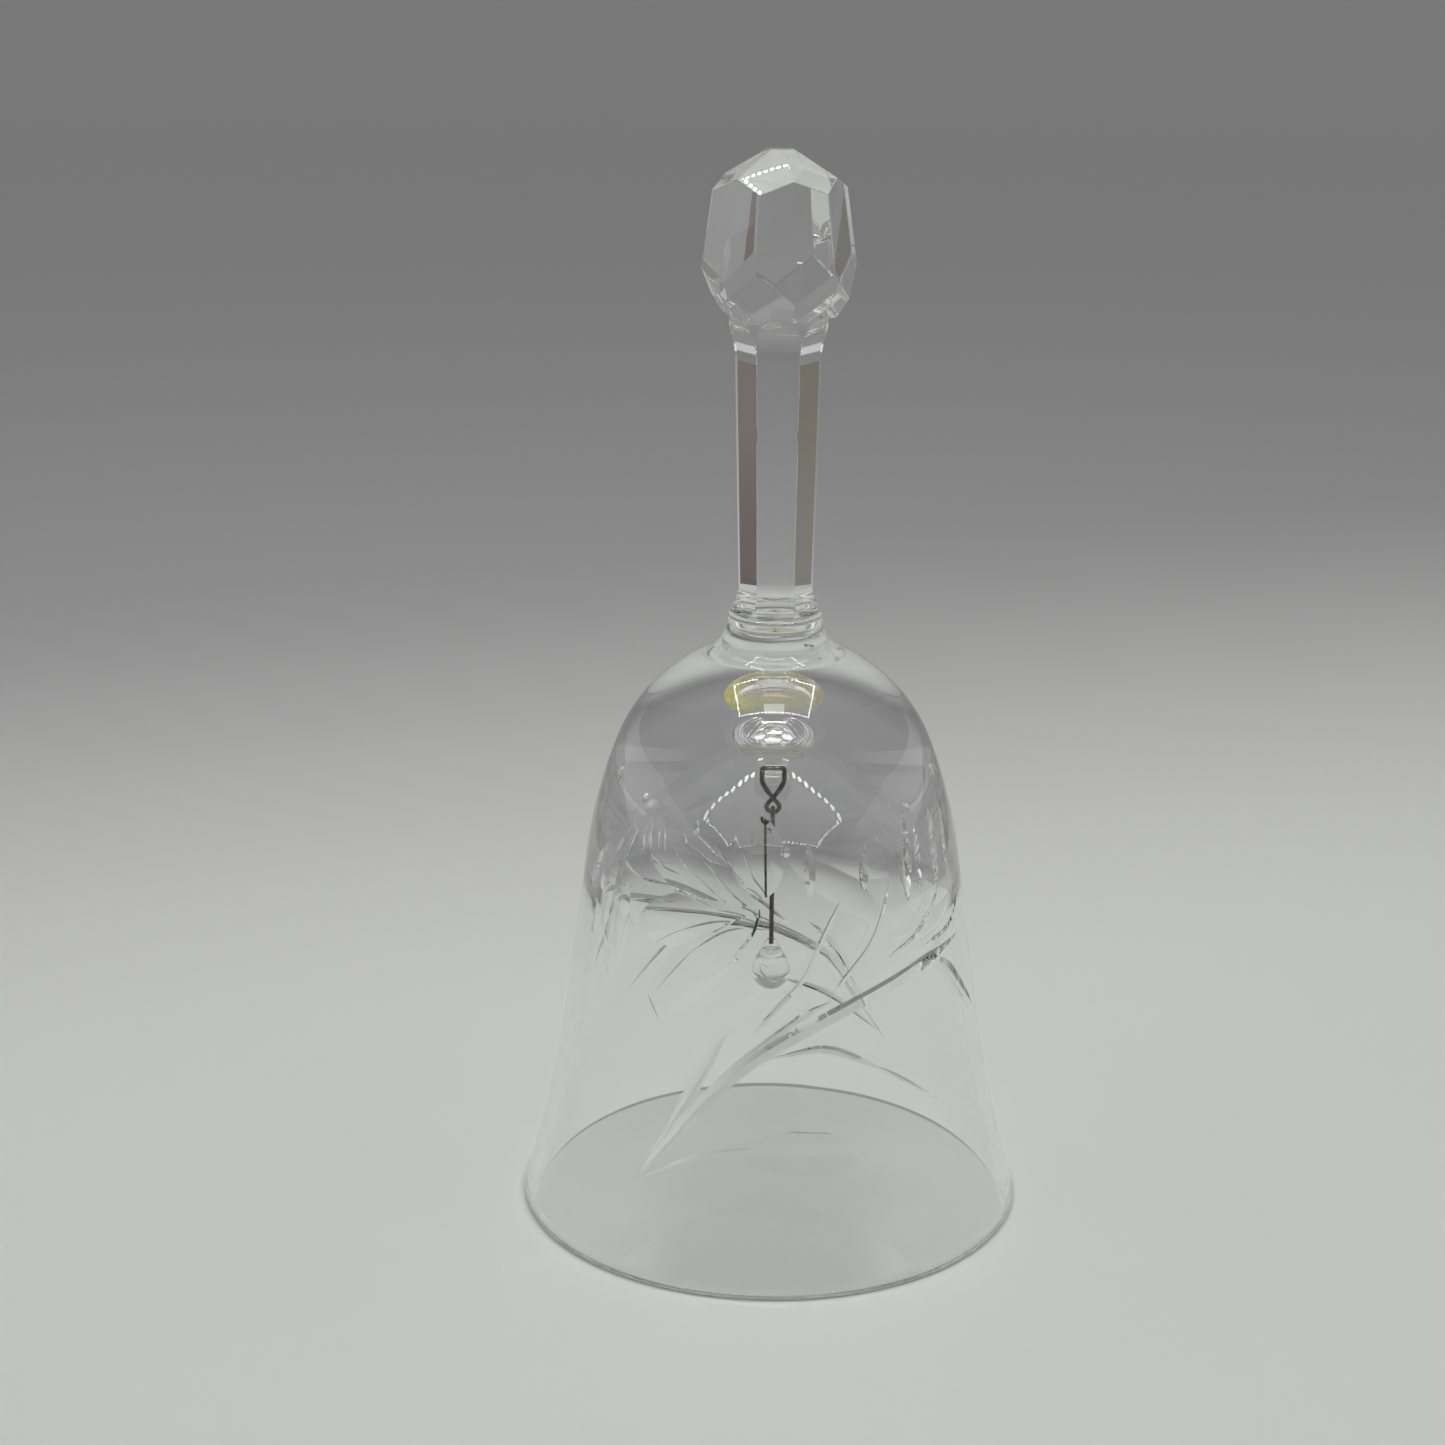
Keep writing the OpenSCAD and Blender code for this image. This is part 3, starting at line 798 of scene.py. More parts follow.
# Curved mitre cuts of even depth: places along the cut, share of the full depth
STEMS = [
    (
        [
            (-36.8, 13),
            (-28, 20.6),
            (-18, 28.4),
            (-6.5, 35),
            (5.4, 39.4),
            (19.4, 43),
            (33.7, 45.5),
            (52, 47.7),
            (71, 48.7),
        ],
        1.0,
    ),
    ([(-33, 18.5), (-22, 26.5), (-10, 34.5), (4, 41), (16, 44.8)], 0.45),
    ([(-5.4, 39.2), (1.3, 43.9), (9, 48.4), (14.6, 54.2), (21.1, 60.4)], 0.35),
    ([(16, 45), (22.8, 48.9), (29.5, 52.5), (34.1, 56.6), (37.6, 61.6)], 0.35),
    ([(34.2, 49.7), (46.2, 52.1), (54.2, 55.1), (59, 57.2)], 0.35),
    ([(50.2, 49.9), (65.7, 51.3), (76.6, 55.8)], 0.35),
]

# Curved mitre cuts that run out at both ends
LEAVES = [
    ([(-33.5, 15.2), (-17.2, 20.6), (-1.0, 23.1)], 0.6),
    ([(0.5, 36.6), (13.5, 37.6), (23, 35.8), (33.6, 32.2)], 0.6),
    ([(30, 33.8), (40, 29.8), (50.8, 25.2)], 0.3),
    ([(4.0, 41.2), (10, 43.2), (17, 44.8)], 0.45),
    ([(49, 47.7), (60, 45.5), (70, 39.9), (79, 34.5)], 0.6),
    ([(-1, 58.2), (-13, 58.9), (-26, 59.3)], 0.12),
    ([(-3, 59.5), (-8, 63), (-20, 68.8)], 0.12),
    ([(-1.5, 60), (-3.2, 63), (-4.5, 66.5)], 0.12),
    ([(-5, 55.8), (-14, 53.8), (-28, 49.8)], 0.12),
]

# Small round cuts: place, width
DOTS = [
    ((-0.8, 70.2), 1.7),
    ((3.9, 67.5), 1.7),
    ((-66, 73.8), 2.4),
    ((73, 73.8), 2.4),
    ((-47.5, 72.2), 1.8),
]

# Steps along a leaf and a stem
LEAF_STEPS = 24
STEM_STEPS = 44

# Bend radius of a dot's cutter as a share of the dot's width, and its middle's lift as a share of that radius
DOT_BEND = 0.95
DOT_LIFT = 0.84


class CutPath:
    """A smooth path on the bowl's outside through a few points."""

    # Share of the path to look ahead and back for its direction
    NUDGE = 0.005

    def __init__(self, section, places, offset):
        self.section = section
        self.places = [Vector((turn + offset, height)) for turn, height in places]

    def at(self, share_along):
        """(turn, height) at a share of the path, on a spline through the places."""
        spans = len(self.places) - 1
        along = min(max(share_along, 0), 1) * spans
        i = min(int(along), spans - 1)
        t = along - i
        p1, p2 = self.places[i], self.places[i + 1]
        p0 = self.places[i - 1] if i > 0 else 2 * p1 - p2
        p3 = self.places[i + 2] if i + 2 <= spans else 2 * p2 - p1
        return 0.5 * (
            2 * p1
            + (p2 - p0) * t
            + (2 * p0 - 5 * p1 + 4 * p2 - p3) * t**2
            + (3 * p1 - p0 - 3 * p2 + p3) * t**3
        )

    def frame(self, share_along):
        """Matrix on the path: X across it, Y outwards, Z along it."""
        place, out = self.section.surface(*self.at(share_along))
        ahead, _ = self.section.surface(*self.at(share_along + self.NUDGE))
        behind, _ = self.section.surface(*self.at(share_along - self.NUDGE))
        along = (ahead - behind).normalized()
        across = out.cross(along).normalized()
        along = across.cross(out)
        turn = Matrix((across, out, along)).transposed().to_4x4()
        return Matrix.Translation(place) @ turn

    def cutter(self, outline, depth, plunge, count):
        """A wheel's edge, drawn along the path with a depth that plunge gives for each share of it."""
        stations = []
        for i in range(count + 1):
            along = i / count
            stations.append(self.frame(along) @ Matrix.Translation((0, -depth * plunge(along), 0)))
        return swept(outline, stations)


def leaf_plunge(along, lift=0.08):
    """Share of the depth along a leaf: deepest past its middle, lifted off the glass at both ends."""
    return math.sin(math.pi * along**0.85) ** 0.9 * (1 + lift) - lift


def stem_plunge(along, lift=0.06, ramp=7):
    """Share of the depth along a stem: even, lifted off the glass at both ends."""
    return min(1, ramp * along, ramp * (1 - along)) * (1 + lift) - lift


def mitre_outline(half_angle, rise=2.2):
    """Section of a mitre wheel's edge, with its point at the origin."""
    half = rise * math.tan(half_angle)
    return [(0, 0, 0), (half, rise, 0), (-half, rise, 0)]


def petal_outline(edge, width, segments=28, rise=1.5):
    """Section of a round-edged wheel, with its outermost point at the origin."""
    spread = math.asin(min(0.95, (width / 2 + 1) / edge))
    down = -math.pi / 2
    lower = [(x, y, 0) for x, y in arc(0, edge, edge, down - spread, down + spread, segments)]
    top = lower[0][1] + rise
    return lower + [(lower[-1][0], top, 0), (lower[0][0], top, 0)]


def wheel_cutter(section, start, end, offset, depth, width=None, mitre=None, count=26, overrun=2):
    """An arc of a wheel's edge, sunk into the side as deep and as far as the cut is deep and long."""
    turn, height = (start[0] + end[0]) / 2 + offset, (start[1] + end[1]) / 2
    place, out = section.surface(turn, height)
    radius, level = section.radius(height), math.hypot(out.x, out.y)
    run = Vector((radius * math.radians(end[0] - start[0]), (end[1] - start[1]) / level))
    lean = math.atan2(run.x, run.y)
    side_bend, round_bend = section.bend(height), level / radius
    along_bend = side_bend * math.cos(lean) ** 2 + round_bend * math.sin(lean) ** 2
    across_bend = side_bend * math.sin(lean) ** 2 + round_bend * math.cos(lean) ** 2
    wheel = 1 / (8 * depth / run.length_squared - along_bend)
    outline = mitre or petal_outline(1 / (8 * depth / width**2 - across_bend), width)
    east = Vector((math.cos(math.radians(turn)), math.sin(math.radians(turn)), 0))
    along = east * math.sin(lean) + out.cross(east) * math.cos(lean)
    base = Matrix.Translation(place) @ Matrix((out.cross(along), out, along)).transposed().to_4x4()
    base = base @ Matrix.Translation((0, wheel - depth, 0))
    stations = []
    for i in range(count + 1):
        reach = (i / count - 0.5) * (run.length + overrun)
        stations.append(base @ Matrix.Rotation(-reach / wheel, 4, "X") @ Matrix.Translation((0, -wheel, 0)))
    return swept(outline, stations)


def marked(bm, name, material, value):
    """The bmesh as a mesh with one material, and a face mark that tells cut glass from blown glass."""
    mesh = new_mesh(bm, name)
    mesh.materials.append(material)
    mark = mesh.attributes.new("cut", "BOOLEAN", "FACE")
    mark.data.foreach_set("value", [value] * len(mesh.polygons))
    return mesh


def ornament_cutters(section, s, material):
    """Cutters of every motif round the bowl, the broad ones first."""
    cutters = []
    mitre = mitre_outline(s.mitre_angle)
    for motif in range(s.motifs):
        offset = 360 * motif / s.motifs
        for start, end, width, strength in PETALS:
            cutters.append(wheel_cutter(section, start, end, offset, s.petal_depth * strength, width=width))
        for start, end, strength in MITRES:
            cutters.append(wheel_cutter(section, start, end, offset, s.mitre_depth * strength, mitre=mitre))
        for paths, plunge, steps in ((LEAVES, leaf_plunge, LEAF_STEPS), (STEMS, stem_plunge, STEM_STEPS)):
            for places, strength in paths:
                path = CutPath(section, places, offset)
                cutters.append(path.cutter(mitre, s.mitre_depth * strength, plunge, steps))
        for (turn, height), width in DOTS:
            place, out = section.surface(turn + offset, height)
            bend = width * DOT_BEND
            middle = Matrix.Translation(place + out * bend * DOT_LIFT)
            bm = bmesh.new()
            bmesh.ops.create_icosphere(bm, subdivisions=4, radius=bend, matrix=middle)
            cutters.append(bm)
    return [marked(bm, "cutter", material, True) for bm in cutters]


def set_bowl_normals(mesh, section):
    """Blown faces get the exact direction of the section, cut faces keep sharp borders."""
    mesh.shade_smooth()
    mesh.set_sharp_from_angle(angle=math.radians(CUT_EDGE))
    cut = [False] * len(mesh.polygons)
    mesh.attributes["cut"].data.foreach_get("value", cut)
    sharp = mesh.attributes.get("sharp_edge") or mesh.attributes.new("sharp_edge", "BOOLEAN", "EDGE")
    flags = [False] * len(mesh.edges)
    sharp.data.foreach_get("value", flags)
    first = {}
    for polygon in mesh.polygons:
        for loop in polygon.loop_indices:
            edge = mesh.loops[loop].edge_index
            if first.setdefault(edge, cut[polygon.index]) != cut[polygon.index]:
                flags[edge] = True
    sharp.data.foreach_set("value", flags)
    normals = [Vector(n.vector) for n in mesh.corner_normals]
    for polygon in mesh.polygons:
        if cut[polygon.index] or abs(polygon.normal.z) > FLAT:
            continue
        for loop in polygon.loop_indices:
            x, y, z = mesh.vertices[mesh.loops[loop].vertex_index].co
            r = math.hypot(x, y)
            if r < LEVEL:
                continue
            facing_out = polygon.normal.x * x + polygon.normal.y * y > 0
            runs = section.outer if facing_out else section.inner
            straight = section.side_out if facing_out else -section.side_out
            out = section.normal(runs, Vector((r, z)), straight)
            normals[loop] = Vector((out.x * x / r, out.x * y / r, out.y))
    mesh.normals_split_custom_set(normals)


class BELL_OT_bowl(bpy.types.Operator):
    """Blow the bowl and cut its ornament"""

    bl_idname = "bell.bowl"
    bl_label = "Bowl"

    def execute(self, context):
        s = sizes("bell_bowl")
        s.glue_radius = sizes("bell_hanger").glue_radius
        joint = joint_radius()
        section = BowlSection(s)
        glass = clear_glass("Bowl glass")
        polished = clear_glass("Cut glass", wave_size=500, wave_height=0.004, smudge=0.03)
        blank = revolved(section.outline(SECTION_STEP, s.height, joint))
        mesh = booleaned(marked(blank, "bowl", glass, False), ornament_cutters(section, s, polished))
        set_bowl_normals(mesh, section)
        mesh.materials.append(fused_joint())
        for polygon in mesh.polygons:
            r, z = polygon.center.xy.length, polygon.center.z
            on_top = z > s.height - LEVEL and r < joint
            on_dome = z > s.hollow_height - 1 and polygon.normal.z < -0.9 and r < s.glue_radius
            if on_top or on_dome:
                polygon.material_index = len(mesh.materials) - 1
        finish_piece(mesh, "bell_bowl", sharp=None)
        return {"FINISHED"}


# Collar and handle


def joint_radius():
    """Radius of the hot joints on both faces of the collar."""
    return high("collar").x - sizes("bell_handle").collar_round


class BELL_OT_collar(bpy.types.Operator):
    """Make the collar between the bowl and the stem"""

    bl_idname = "bell.collar"
    bl_label = "Collar"

    def execute(self, context):
        bend = sizes("bell_handle").collar_round
        bottom, top, joint = low("collar").z, high("collar").z, joint_radius()
        edge = arc(joint, bottom + bend, bend, -math.pi / 2, 0, 6)
        upper = [(r, top + bottom - z) for r, z in reversed(edge)]
        mesh = new_mesh(revolved([(0, bottom)] + edge + upper + [(0, top)]), "collar")
        paint(mesh, [handle_glass(), fused_joint()], lambda polygon: abs(polygon.normal.z) > FLAT)
        finish_piece(mesh, "collar")
        return {"FINISHED"}


def stem_mesh(s, bottom, knob_z, joint, overlap=0.6, steps=12):
    """Round stem with its ground facets, from the collar into the knob, which it overlaps."""
    flare = s.foot_radius - s.low_radius
    sweep = (s.foot_flare**2 + flare**2) / (2 * flare)
    foot = []
    for i in range(steps + 1):
        z = s.foot_flare * i / steps
        foot.append((s.low_radius + sweep - math.sqrt(sweep**2 - (s.foot_flare - z) ** 2), bottom + z))
    head = [(s.high_radius, knob_z - s.head_runout / 2), (s.high_radius + overlap, knob_z + overlap)]
    blank = revolved([(0, bottom), (joint, bottom)] + foot + head + [(0, knob_z + overlap)], STEM_ROUND)
    lower, upper = bottom + s.foot_runout, knob_z - s.head_runout
    far = s.high_radius * 3
    sunk = math.acos(max(0, 1 - (far - s.foot_flat) / s.foot_wheel))
    risen = math.radians(50)
    profile = arc(s.foot_flat + s.foot_wheel, lower, s.foot_wheel, math.pi + sunk, math.pi, 18)
    profile += arc(s.head_flat + s.head_wheel, upper, s.head_wheel, math.pi, math.pi - risen, 24)
    profile += [(far, profile[-1][1]), (far, profile[0][1])]
    cutters = []
    for i in range(s.stem_facets):
        cutter = extruded([(x, 0, z) for x, z in profile], (0, -far, 0), (0, 2 * far, 0))
        turn = Matrix.Rotation(math.tau * i / s.stem_facets - math.pi / 2, 4, "Z")
        bmesh.ops.transform(cutter, matrix=turn, verts=cutter.verts)
        cutters.append(new_mesh(cutter, "facet"))
    return booleaned(new_mesh(blank, "stem"), cutters)


def knob_mesh(s, base, top, sharp_foot=0.5):
    """Knob with rows of side, top and lower facets and narrow polished edges above its foot."""
    bm = bmesh.new()
    size = 3 * s.wide_radius
    block = Matrix.Translation((0, 0, (base + top) / 2)) @ Matrix.Diagonal((size, size, top - base, 1))
    bmesh.ops.create_cube(bm, size=1, matrix=block)
    step = math.tau / s.knob_facets
    flat = math.cos(step / 2)
    lean = math.atan((s.wide_radius - s.top_radius) * flat / (s.top_height - s.wide_height))
    rows = [
        (0.5, s.wide_radius * flat, s.wide_height, math.pi / 2 - lean),
        (0, s.top_radius, s.top_height, s.top_slope),
        (0, s.wide_radius, s.wide_height, math.pi / 2 + s.low_slope),
    ]
    for shift, radius, height, tilt in rows:
        for i in range(s.knob_facets):
            turn = s.knob_turn - math.pi / 2 + step * (i + shift)
            out = Vector((math.cos(turn), math.sin(turn), 0))
            normal = out * math.sin(tilt) + Vector((0, 0, math.cos(tilt)))
            place = out * radius + Vector((0, 0, base + height))
            geom = bm.verts[:] + bm.edges[:] + bm.faces[:]
            cut = bmesh.ops.bisect_plane(bm, geom=geom, plane_co=place, plane_no=normal, clear_outer=True)
            border = [e for e in cut["geom_cut"] if isinstance(e, bmesh.types.BMEdge)]
            bmesh.ops.contextual_create(bm, geom=border)
    bmesh.ops.remove_doubles(bm, verts=bm.verts, dist=TOUCH)
    bmesh.ops.recalc_face_normals(bm, faces=bm.faces)
    edges = [e for e in bm.edges if max(v.co.z for v in e.verts) > base + sharp_foot]
    bevelled(bm, edges, s.edge, 2)
    bmesh.ops.recalc_face_normals(bm, faces=bm.faces)
    return new_mesh(bm, "knob")


class BELL_OT_handle(bpy.types.Operator):
    """Grind the facets of the stem and the knob"""

    bl_idname = "bell.handle"
    bl_label = "Handle"

    def execute(self, context):
        s = sizes("bell_handle")
        bottom, top, joint = high("collar").z, high("handle").z, joint_radius()
        knob_z = bottom + s.stem_length
        stem = stem_mesh(s, bottom, knob_z, joint)
        mesh = booleaned(stem, [knob_mesh(s, knob_z, top)], "UNION")
        paint(
            mesh,
            [handle_glass(), fused_joint()],
            lambda polygon: polygon.center.z < bottom + LEVEL and polygon.center.xy.length < joint,
        )
        finish_piece(mesh, "handle", sharp=12)
        return {"FINISHED"}


# Hanger and clapper


class BELL_OT_adhesive(bpy.types.Operator):
    """Spread the adhesive under the crown"""

    bl_idname = "bell.adhesive"
    bl_label = "Adhesive"

    def execute(self, context):
        s, bend = sizes("bell_hanger"), sizes("bell_bowl").dome_bend
        bottom, top = low("adhesive").z, high("adhesive").z
        radii = [s.glue_radius * i / 10 for i in range(11)]
        dome = [(r, top - bend + math.sqrt(bend**2 - r**2)) for r in radii]
        middle = (dome[-1][1] + bottom) / 2
        waist, foot, sag = s.glue_radius - 0.12, s.glue_radius - 0.3, 0.05
        rounded = [(waist, middle - sag), (foot, bottom)]
        section = dome + rounded + [(s.button_radius, bottom), (0, bottom)]
        mesh = new_mesh(revolved(section, DISC_ROUND), "adhesive")

        def finish(polygon):
            """The film is on top and the joint over the button. The rest is the clear edge."""
            if polygon.normal.z > 0.9:
                return 0
            on_button = polygon.normal.z < -0.999 and polygon.center.xy.length < s.button_radius
            return 2 if on_button else 1

        paint(mesh, [resin_film(), resin_body(), fused_joint()], finish)
        finish_piece(mesh, "adhesive")
        return {"FINISHED"}


class BELL_OT_button(bpy.types.Operator):
    """Press the button with its pierced lug"""

    bl_idname = "bell.button"
    bl_label = "Hanger button"

    def execute(self, context):
        s = sizes("bell_hanger")
        top = high("hanger_button").z
        bottom = top - s.button_thickness
        hole_z = bottom - s.lug_drop
        soft, lug_soft, overlap = 0.35, 0.2, 0.2
        edge = arc(s.button_radius - soft, bottom + soft, soft, -math.pi / 2, 0, 6)
        disc = revolved([(0, bottom)] + edge + [(s.button_radius, top), (0, top)], DISC_ROUND)
        half = s.lug_width / 2
        outline = [(0, y, z) for y, z in arc(0, hole_z, half, math.pi, math.tau, 32)]
        outline += [(0, half, bottom + overlap), (0, -half, bottom + overlap)]
        lug = extruded(outline, (-s.lug_thickness / 2, 0, 0), (s.lug_thickness, 0, 0))
        at_ends = [e for e in lug.edges if abs(e.verts[0].co.x - e.verts[1].co.x) < TOUCH]
        rim = [e for e in at_ends if min(v.co.z for v in e.verts) < bottom]
        bevelled(lug, rim, lug_soft, 3)
        mesh = booleaned(new_mesh(disc, "button"), [new_mesh(lug, "lug")], "UNION")
        mesh = booleaned(mesh, [bore(s.hole_radius, s.lug_thickness + 2, hole_z, "Y")])
        glass = clear_glass("Button glass", wave_size=400, wave_height=0.03, smudge=0.1)
        paint(mesh, [glass, fused_joint()], lambda polygon: polygon.center.z > top - LEVEL)
        finish_piece(mesh, "hanger_button")
        return {"FINISHED"}


# Largest step of a wire's bend in degrees, and length and width of its softened ends as shares of its radius
BEND_STEP = 9
END_LENGTH = 0.35
END_WIDTH = 0.72


class WirePath:
    """A wire's middle line, made of straight runs and bends in the XZ plane."""

    def __init__(self, start, heading):
        self.points = [Vector((start[0], 0, start[1]))]
        self.heading = heading

    def forward(self, distance):
        """Goes straight on."""
        step = Vector((math.cos(self.heading), 0, math.sin(self.heading)))
        self.points.append(self.points[-1] + step * distance)
        return self

    def turn(self, bend, degrees):
        """Turns along an arc, to the left if degrees is positive."""
        side = math.copysign(1, degrees)
        count = max(3, math.ceil(abs(degrees) / BEND_STEP))
        out = Vector((-math.sin(self.heading), 0, math.cos(self.heading))) * side
        centre = self.points[-1] + out * bend
        for i in range(1, count + 1):
            a = self.heading + math.radians(degrees) * i / count
            left = Vector((-math.sin(a), 0, math.cos(a))) * side
            self.points.append(centre - left * bend)
        self.heading += math.radians(degrees)
        return self


def wire_mesh(points, radius):
    """A round wire along points, with softened ends."""
    kept = [p for i, p in enumerate(points) if i == 0 or (p - points[i - 1]).length > TOUCH]
    count = len(kept)
    headings = [(kept[min(i + 1, count - 1)] - kept[max(i - 1, 0)]).normalized() for i in range(count)]
    turn = headings[0].to_track_quat("Z", "Y")
    stations = []
    for i in range(count):
        if i:
            turn = headings[i - 1].rotation_difference(headings[i]) @ turn
        stations.append(Matrix.Translation(kept[i]) @ turn.to_matrix().to_4x4() @ Matrix.Scale(radius, 4))
    narrow = Matrix.Diagonal((END_WIDTH, END_WIDTH, 1, 1))
    ends = []
    for station, way in ((stations[0], -1), (stations[-1], 1)):
        ends.append(station @ Matrix.Translation((0, 0, way * END_LENGTH)) @ narrow)
    outline = [(x, y, 0) for x, y in arc(0, 0, 1, 0, math.tau, WIRE_ROUND)[:-1]]
    return new_mesh(swept(outline, [ends[0]] + stations + [ends[1]]), "wire")


def closed_wire(points, radius):
    """A closed loop of wire in the XZ plane."""
    bm = bmesh.new()
    count = len(points)
    rings = []
    for i, point in enumerate(points):
        along = (points[(i + 1) % count] - points[i - 1]).normalized()
        across = Vector((0, 1, 0)).cross(along)
        place = Matrix.Translation(point) @ Matrix((across, (0, 1, 0), along)).transposed().to_4x4()
        made = bmesh.ops.create_circle(bm, segments=WIRE_ROUND, radius=radius, cap_ends=False, matrix=place)
        rings.append({e for v in made["verts"] for e in v.link_edges})
    for i, ring in enumerate(rings):
        bmesh.ops.bridge_loops(bm, edges=list(ring | rings[(i + 1) % count]))
    bmesh.ops.recalc_face_normals(bm, faces=bm.faces)
    return new_mesh(bm, "loop")


class BELL_OT_wires(bpy.types.Operator):
    """Bend the hanger loop and the clapper wire"""

    bl_idname = "bell.wires"
    bl_label = "Wires"

    def execute(self, context):
        self.hanger(sizes("bell_hanger"))
        self.clapper(sizes("bell_hanger"), sizes("bell_clapper"))
        return {"FINISHED"}

    def hanger(self, s):
        """Figure of eight: half the pin, a leg that crosses the other, and half the eye, twice."""
        # The legs lean by three in four
        lean = math.atan2(3, 4)
        loop_x = s.lug_thickness / 2 + s.side_clearance + s.wire_radius
        turn_z = s.lug_width / 2 + s.side_clearance
        reach = s.turn + s.eye
        leg = (loop_x - s.turn + reach * math.cos(lean)) / math.sin(lean)
        pin_z = high("hanger_button").z - s.button_thickness - s.lug_drop
        path = WirePath((0, 0), 0).forward(loop_x - s.bend).turn(s.bend, -90).forward(turn_z - s.bend)
        path.turn(s.turn, -math.degrees(lean)).forward(leg / 2).forward(leg / 2)
        path.turn(s.eye, 90 + math.degrees(lean + s.lap))
        half = [Matrix.Rotation(s.twist, 4, "X") @ p for p in path.points]
        other = [Vector((-p.x, -p.y, p.z)) for p in half]
        points = [p + Vector((0, 0, pin_z)) for p in list(reversed(other)) + half[1:]]
        mesh = wire_mesh(points, s.wire_radius)
        paint(mesh, [tarnished_wire()])
        finish_piece(mesh, "hanger_loop", sharp=60)

    def clapper(self, s, c):
        """Ring, straight wire and lower loop, bent from one length in the YZ plane."""
        top = high("clapper_wire").z - s.wire_radius
        bottom = low("clapper_wire").z + s.wire_radius
        loop_y = c.neck_thickness / 2 + s.side_clearance + s.wire_radius
        loop_top = bottom + c.loop_length - 2 * s.wire_radius
        ring_z = top - s.eye
        ring = bmesh.new()
        bmesh.ops.create_circle(ring, segments=WIRE_ROUND, radius=s.wire_radius, cap_ends=False)
        place = Matrix.Translation((s.eye, 0, 0)) @ Matrix.Rotation(math.pi / 2, 4, "X")
        bmesh.ops.transform(ring, matrix=place, verts=ring.verts)
        spun(ring, HOLE_ROUND)
        upright = Matrix.Translation((0, 0, ring_z)) @ Matrix.Rotation(math.pi / 2, 4, "X")
        bmesh.ops.transform(ring, matrix=upright, verts=ring.verts)
        bmesh.ops.recalc_face_normals(ring, faces=ring.faces)
        straight = [Vector((0, 0, ring_z - s.eye)), Vector((0, 0, loop_top))]
        rise = loop_top - loop_y - bottom - s.bend
        path = WirePath((0, bottom), 0).forward(loop_y - s.bend).turn(s.bend, 90)
        half = path.forward(rise).turn(loop_y, 90).points
        other = [Vector((-p.x, 0, p.z)) for p in half]
        loop = list(reversed(half)) + other[1:-1]
        parts = [wire_mesh(straight, s.wire_radius), closed_wire(loop, s.wire_radius)]
        mesh = booleaned(new_mesh(ring, "ring"), parts, "UNION")
        mesh.transform(Matrix.Rotation(math.pi / 2, 4, "Z"))
        paint(mesh, [tarnished_wire()])
        finish_piece(mesh, "clapper_wire", sharp=60)


class BELL_OT_drop(bpy.types.Operator):
    """Press the glass drop of the clapper"""

    bl_idname = "bell.drop"
    bl_label = "Clapper drop"

    def execute(self, context):
        c = sizes("bell_clapper")
        wire = sizes("bell_hanger")
        bottom = low("clapper_drop").z
        pivot = bottom + c.drop_length
        centre = bottom + c.drop_radius
        lean = math.asin((c.drop_radius - c.neck_radius) / (pivot - centre))
        points = arc(0, centre, c.drop_radius, -math.pi / 2, lean, 28)
        points += arc(0, pivot, c.neck_radius, lean, math.pi / 2, 10)
        points[0], points[-1] = (0, points[0][1]), (0, points[-1][1])
        cheek = pivot - wire.wire_radius - wire.side_clearance - c.neck_radius
        slab_size = 10
        tools = []
        for side in (-1, 1):
            slab = bmesh.new()
            place = Matrix.Translation((0, side * (c.neck_thickness + slab_size) / 2, cheek + slab_size / 2))
            bmesh.ops.create_cube(slab, size=slab_size, matrix=place)
            tools.append(new_mesh(slab, "slab"))
        tools.append(bore(c.hole_radius, 4, pivot, "X"))
        mesh = booleaned(new_mesh(revolved(points, DROP_ROUND), "drop"), tools)
        paint(mesh, [clear_glass("Drop glass", wave_size=300, wave_height=0.02, smudge=0.05)])
        finish_piece(mesh, "clapper_drop")
        return {"FINISHED"}


# Stage


# Radius of the floor in metres, and how much sooner the painted shade turns its left side grey, in metres for
# each metre
FLOOR_RADIUS = 9
SHADE_SLANT = 0.38

# Surround: white overhead, share of it at the sides, grey behind at the horizon and above it, colour in front
WHITE = (1, 1, 1)
SIDE_SHARE = 0.75
HORIZON = 0.2
BEHIND = 0.235
IN_FRONT = (0.2, 0.185, 0.18)

# Turn of the floor's cards towards the bell, in radians, and distances behind it between which they change
CARD_TURN = 0.715
CARD_NEAR = 0.25
CARD_FAR = 0.5

# Cards on the floor beside the view, in metres: name, middle, size, glow at the near and the far end
GREY = (0.235, 0.235, 0.235)
CARDS = [
    ("left_grey_card", (-0.35, 0.46, 0.001), (0.26, 0.58), GREY, GREY),
    ("right_grey_card", (0.35, 0.46, 0.001), (0.26, 0.58), GREY, GREY),
    ("left_brown_card", (-0.417, 0.442, 0.002), (0.041, 0.66), (0.165, 0.155, 0.14), (0.145, 0.13, 0.1)),
    ("right_brown_card", (0.417, 0.442, 0.002), (0.041, 0.66), (0.1, 0.07, 0.062), (0.16, 0.135, 0.125)),
]

# Cards over the light frame: name, height over the frame in millimetres, size in metres, grey
CEILING = [
    ("ceiling_card", 30, (4, 4), 0.25),
    ("frame_card", 10, (0.31, 0.2), 1),
]

# Most bounces of the light in glass, and most clear faces that it passes
GLASS_BOUNCES = 64
CLEAR_BOUNCES = 32

# Width of the camera's sensor in millimetres
SENSOR = 36


